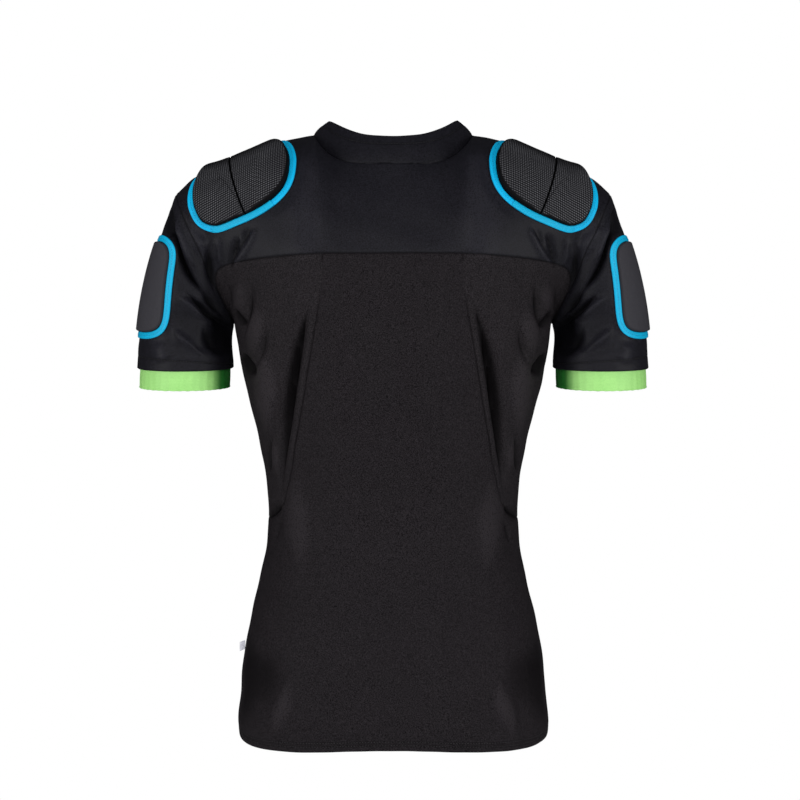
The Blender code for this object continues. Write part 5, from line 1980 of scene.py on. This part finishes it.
@dataclass
class Garment:
    """The whole top, built on one set of forms."""

    finishes: dict[str, Material]
    body: BodyForm = field(default_factory=BodyForm)
    groove_pitch: float = 0.001
    tape_points: int = 240
    lap_ends: tuple[Span, ...] = ((0.1415, -0.0679), (0.2018, -0.1078))
    lap_lift: float = 0.7
    lap_extra: float = 0.0004
    stitch_lift: float = 0.0001
    line_points: int = 2000
    turn_points: int = 600
    turn_ends: Span = (0.001, 0.999)

    def __post_init__(self) -> None:
        """Set out the sleeves, the cut and the pads."""
        self.sleeve = SleeveForm(self.body)
        self.layout = PanelLayout(self.body, self.sleeve)
        shoulder = dict(thickness=0.007, rib_strength=1.0, rib_lean=math.radians(22.0), rib_middle=0.18)
        bicep = dict(thickness=0.0042, rib_strength=0.0, rib_lean=0.0, rib_middle=0.26)
        shoulder.update(groove=SHOULDER_GROOVE, end_lift=0.0045)
        bicep.update(outline_points=300, rings=30)
        self.pads = []
        for side in Side:
            chart = partial(self.body.chart, side)
            self.pads.append(PadSet("shoulder", SHOULDER_SHAPE, chart, side, side, **shoulder))
            chart = partial(self.sleeve.chart, side)
            self.pads.append(PadSet("bicep", BICEP_SHAPE, chart, -side, side, **bicep))

    def build_cloth(self) -> None:
        """Crease the skin and cut it into panels."""
        covered = point_tree(join([pad.footprint() for pad in self.pads]))
        rows = point_tree(join([place for place, _, _ in self.cloth_rows(self.groove_pitch)]))
        self.skin = ClothSkin(CreaseField(CREASES), covered, rows)
        back, back_rows = self.layout.back()
        front, front_rows = self.layout.front()
        turns = join([0.5 * (back_rows - 1.0), (1.0 - 0.5 * (front_rows - 1.0))[::-1][1:]])
        sleeves = [self.layout.sleeve_lattice(side, turns) for side in Side]
        self.skin.weld([back, front, *sleeves, self.layout.collar_lattice()])
        for name in dict.fromkeys(self.skin.panels):
            piece = self.skin.panel(name)
            smooth = name.startswith(("yoke", "sleeve", "collar"))
            slot = Slot.SMOOTH_CLOTH if smooth else Slot.BODY_CLOTH
            knit = "side_knit" if name.startswith("side_panel") else "body_knit"
            enrol(piece, slot, self.finishes["smooth_stretch" if smooth else knit], name)

    def build_pads(self) -> None:
        """Lay the pads, their ribs and their tapes on the skin."""
        ribs = rib_tree(RIB_PITCH, RIB_HEIGHT)
        for pad in self.pads:
            for word, outline in pad.pad_outlines().items():
                piece = pad.pad(word, *outline)
                ribs.run(piece, self.finishes["ribbed_mesh" if pad.rib_strength else "smooth_mesh"])
                enrol(piece, Slot.PAD_CLOTH, None, f"{pad.name}_pad{word}_{pad.side.word}")
            line = pad.outer_line(self.tape_points)
            node = f"{pad.name}_binding_{pad.side.word}"
            tape = pad.tape(f"{node}_tape", line, pad.tape_width, PIECE_LIFT, True)
            finish = self.finishes["blue_tape" if pad.groove else "bright_blue_tape"]
            enrol(tape, Slot.BINDING_TAPE, finish, node)
            if pad.groove is not None:
                self.build_lap(pad, *line)

    def build_lap(self, pad: PadSet, p: Array, q: Array) -> None:
        """Length of tape over the lower stretch of a shoulder tape, with cut ends, in the copy of the blue
        tape whose retuned colours are partly painted light.

        Args:
            pad: Pads of the shoulder.
            p: First coordinates of the tape's outer edge.
            q: Second coordinates of the tape's outer edge.
        """
        x, y, z = pad.chart(p, q).T
        ends = []
        for end_x, end_z in self.lap_ends:
            away = np.hypot(np.abs(x) - end_x, z - end_z)
            ends.append(int(np.argmin(np.where(y > 0.0, np.inf, away))))
        low, high = sorted(ends)
        run = np.arange(low, high + 1)
        if not low <= int(np.argmin(z)) <= high:
            run = np.arange(high, low + len(p) + 1) % len(p)
        lift = PIECE_LIFT + self.lap_lift * pad.tape_thickness
        name = f"shoulder_lap_{pad.side.word}_tape"
        piece = pad.tape(name, (p[run], q[run]), pad.tape_width + self.lap_extra, lift, False)
        enrol(piece, Slot.BINDING_TAPE, self.finishes["bright_blue_tape"])

    def build_trim(self) -> None:
        """Elastic bands in the sleeve ends, and the label in the side seam."""
        cuff = CuffBand(self.sleeve)
        for side in Side:
            cuff.build(side, self.finishes["green_elastic"])
        SideLabel().build(self.finishes["white_satin"])

    def cloth_rows(self, pitch: float) -> list[tuple[Array, Array, bool]]:
        """Rows of stitches on the hem, the collar and the sleeve ends.

        Args:
            pitch: Distance between points.

        Returns:
            Points on the smooth cloth, their normals and whether the row is closed, for each row.
        """
        rows = []
        lines = np.linspace(-1.0, 1.0, self.line_points)
        turns = np.linspace(*self.turn_ends, self.turn_points)
        length = self.body.underarm_height - self.body.hem_side_height
        layout = self.layout

        def add(chart: Chart, p: Array, q: float, outward: float, closed: bool) -> None:
            """Add a row along a line of one chart."""
            level = np.full(p.shape, q)
            count = round(travel(chart(p, level))[-1] / pitch)
            frame = chart_frame(chart, *resample(chart, p, level, count, closed), outward)
            rows.append((frame.place, frame.normal, closed))

        for sheet in Sheet:
            for drop in layout.hem_rows:
                add(partial(self.body.at, sheet), lines, drop / length, -sheet, False)
            share = layout.collar_row / layout.collar_height
            add(partial(self.body.collar, sheet), lines * 0.5 * math.pi, share, -sheet, False)
        for side in Side:
            for along in layout.sleeve_rows:
                add(partial(self.sleeve.chart, side), turns, along / layout.sleeve_length, -side, True)
        return rows

    def build_sewing(self) -> None:
        """Stitches on the tapes, the hem, the collar and the sleeve ends."""
        blue = Sewing("tape_stitches", STITCH_LENGTH, width=0.0006, seed=3)
        for pad in self.pads:
            blue.row(*pad.sewing_line(STITCH_PITCH))
        enrol(blue.build(self.finishes["blue_thread"]), Slot.BINDING_TAPE, None)
        black = Sewing("cloth_stitches", STITCH_LENGTH, width=0.00055, seed=5)
        for place, normal, closed in self.cloth_rows(STITCH_PITCH):
            height = self.skin.relief(place, normal) + self.stitch_lift - self.skin.row_depth
            black.row(place + normal * height[:, None], normal, closed)
        enrol(black.build(self.finishes["black_thread"]), Slot.SMOOTH_CLOTH, None)


class SoftBox(NamedTuple):
    """Rectangular studio light, with or without a reflection of its own."""

    name: str
    place: Triple
    size: Span
    watts: float
    shine: bool


@dataclass(frozen=True)
class Studio:
    """Camera, lights and floor."""

    camera_place: Triple = (0.008, -2.4, -0.299)
    sensor: float = 36.0
    lens: float = 36.0 * 2.4 / 0.92
    aim: Triple = (0.0, 0.0, -0.32)
    floor_height: float = -1.3
    floor_radius: float = 1.5
    floor_sides: int = 96
    white: tuple[float, ...] = (1.0, 1.0, 1.0, 1.0)
    room_light: float = 0.04
    lights: tuple[SoftBox, ...] = (
        SoftBox("back_fill", (0.0, -2.8, 0.35), (1.6, 1.6), 36.0, True),
        SoftBox("key_left", (-1.75, -1.25, -0.35), (0.8, 1.2), 27.0, True),
        SoftBox("key_right", (1.75, -1.25, -0.35), (0.8, 1.2), 27.0, True),
        SoftBox("front_fill", (0.0, 3.0, -0.05), (1.6, 1.6), 115.0, False),
        SoftBox("top_fill", (0.0, -1.0, 1.7), (1.2, 1.2), 17.0, False),
    )

    def add(self, name: str, data: bpy.types.ID, place: Triple = (0.0, 0.0, 0.0)) -> Piece:
        """Put a camera, light or floor into the scene."""
        thing = bpy.data.objects.new(name, data)
        thing.location = place
        bpy.context.scene.collection.objects.link(thing)
        return thing

    def build(self, floor_finish: Material) -> None:
        """Set up the scene."""
        scene = bpy.context.scene
        camera = bpy.data.cameras.new("camera")
        camera.lens = self.lens
        camera.sensor_width = self.sensor
        scene.camera = self.add("camera", camera, self.camera_place)
        scene.camera.rotation_euler = (math.pi / 2.0, 0.0, 0.0)
        scene.view_settings.view_transform = "Standard"
        for box in self.lights:
            light = bpy.data.lights.new(box.name, "AREA")
            light.shape = "RECTANGLE"
            light.size, light.size_y = box.size
            light.energy = box.watts
            lamp = self.add(box.name, light, box.place)
            lamp.visible_glossy = box.shine
            lamp.rotation_euler = (Vector(self.aim) - Vector(box.place)).to_track_quat("-Z", "Y").to_euler()
        self.build_room(scene)
        mesh = bpy.data.meshes.new("floor")
        body = bmesh.new()
        bmesh.ops.create_circle(body, cap_ends=True, segments=self.floor_sides, radius=self.floor_radius)
        bmesh.ops.translate(body, vec=(0.0, 0.0, self.floor_height), verts=body.verts)
        body.to_mesh(mesh)
        body.free()
        mesh.materials.append(floor_finish)
        self.add("floor", mesh)

    def build_room(self, scene: bpy.types.Scene) -> None:
        """Give the scene a white backdrop that lights the garment only faintly."""
        scene.world = bpy.data.worlds.new("studio")
        scene.world.use_nodes = True
        room = NodeTree(scene.world.node_tree)
        room.tree.nodes.clear()
        faint = room.node("ShaderNodeBackground", {}, {"Color": self.white, "Strength": self.room_light})[0]
        shown = room.node("ShaderNodeBackground", {}, {"Color": self.white})[0]
        seen = room.node("ShaderNodeLightPath", {}, {})["Is Camera Ray"]
        chosen = room.node("ShaderNodeMixShader", {}, {0: seen, 1: faint, 2: shown})[0]
        room.node("ShaderNodeOutputWorld", {}, {"Surface": chosen})


def main() -> None:
    """Build the garment on its frame."""
    logging.basicConfig(level=logging.INFO, format="%(name)s: %(message)s")
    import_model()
    finishes = {finish.name: finish.make() for finish in FINISHES}
    Studio().build(finishes["pale_floor"])
    garment = Garment(finishes)
    garment.build_cloth()
    garment.build_pads()
    garment.build_trim()
    garment.build_sewing()
    bpy.context.view_layer.update()


if __name__ == "__main__":
    main()
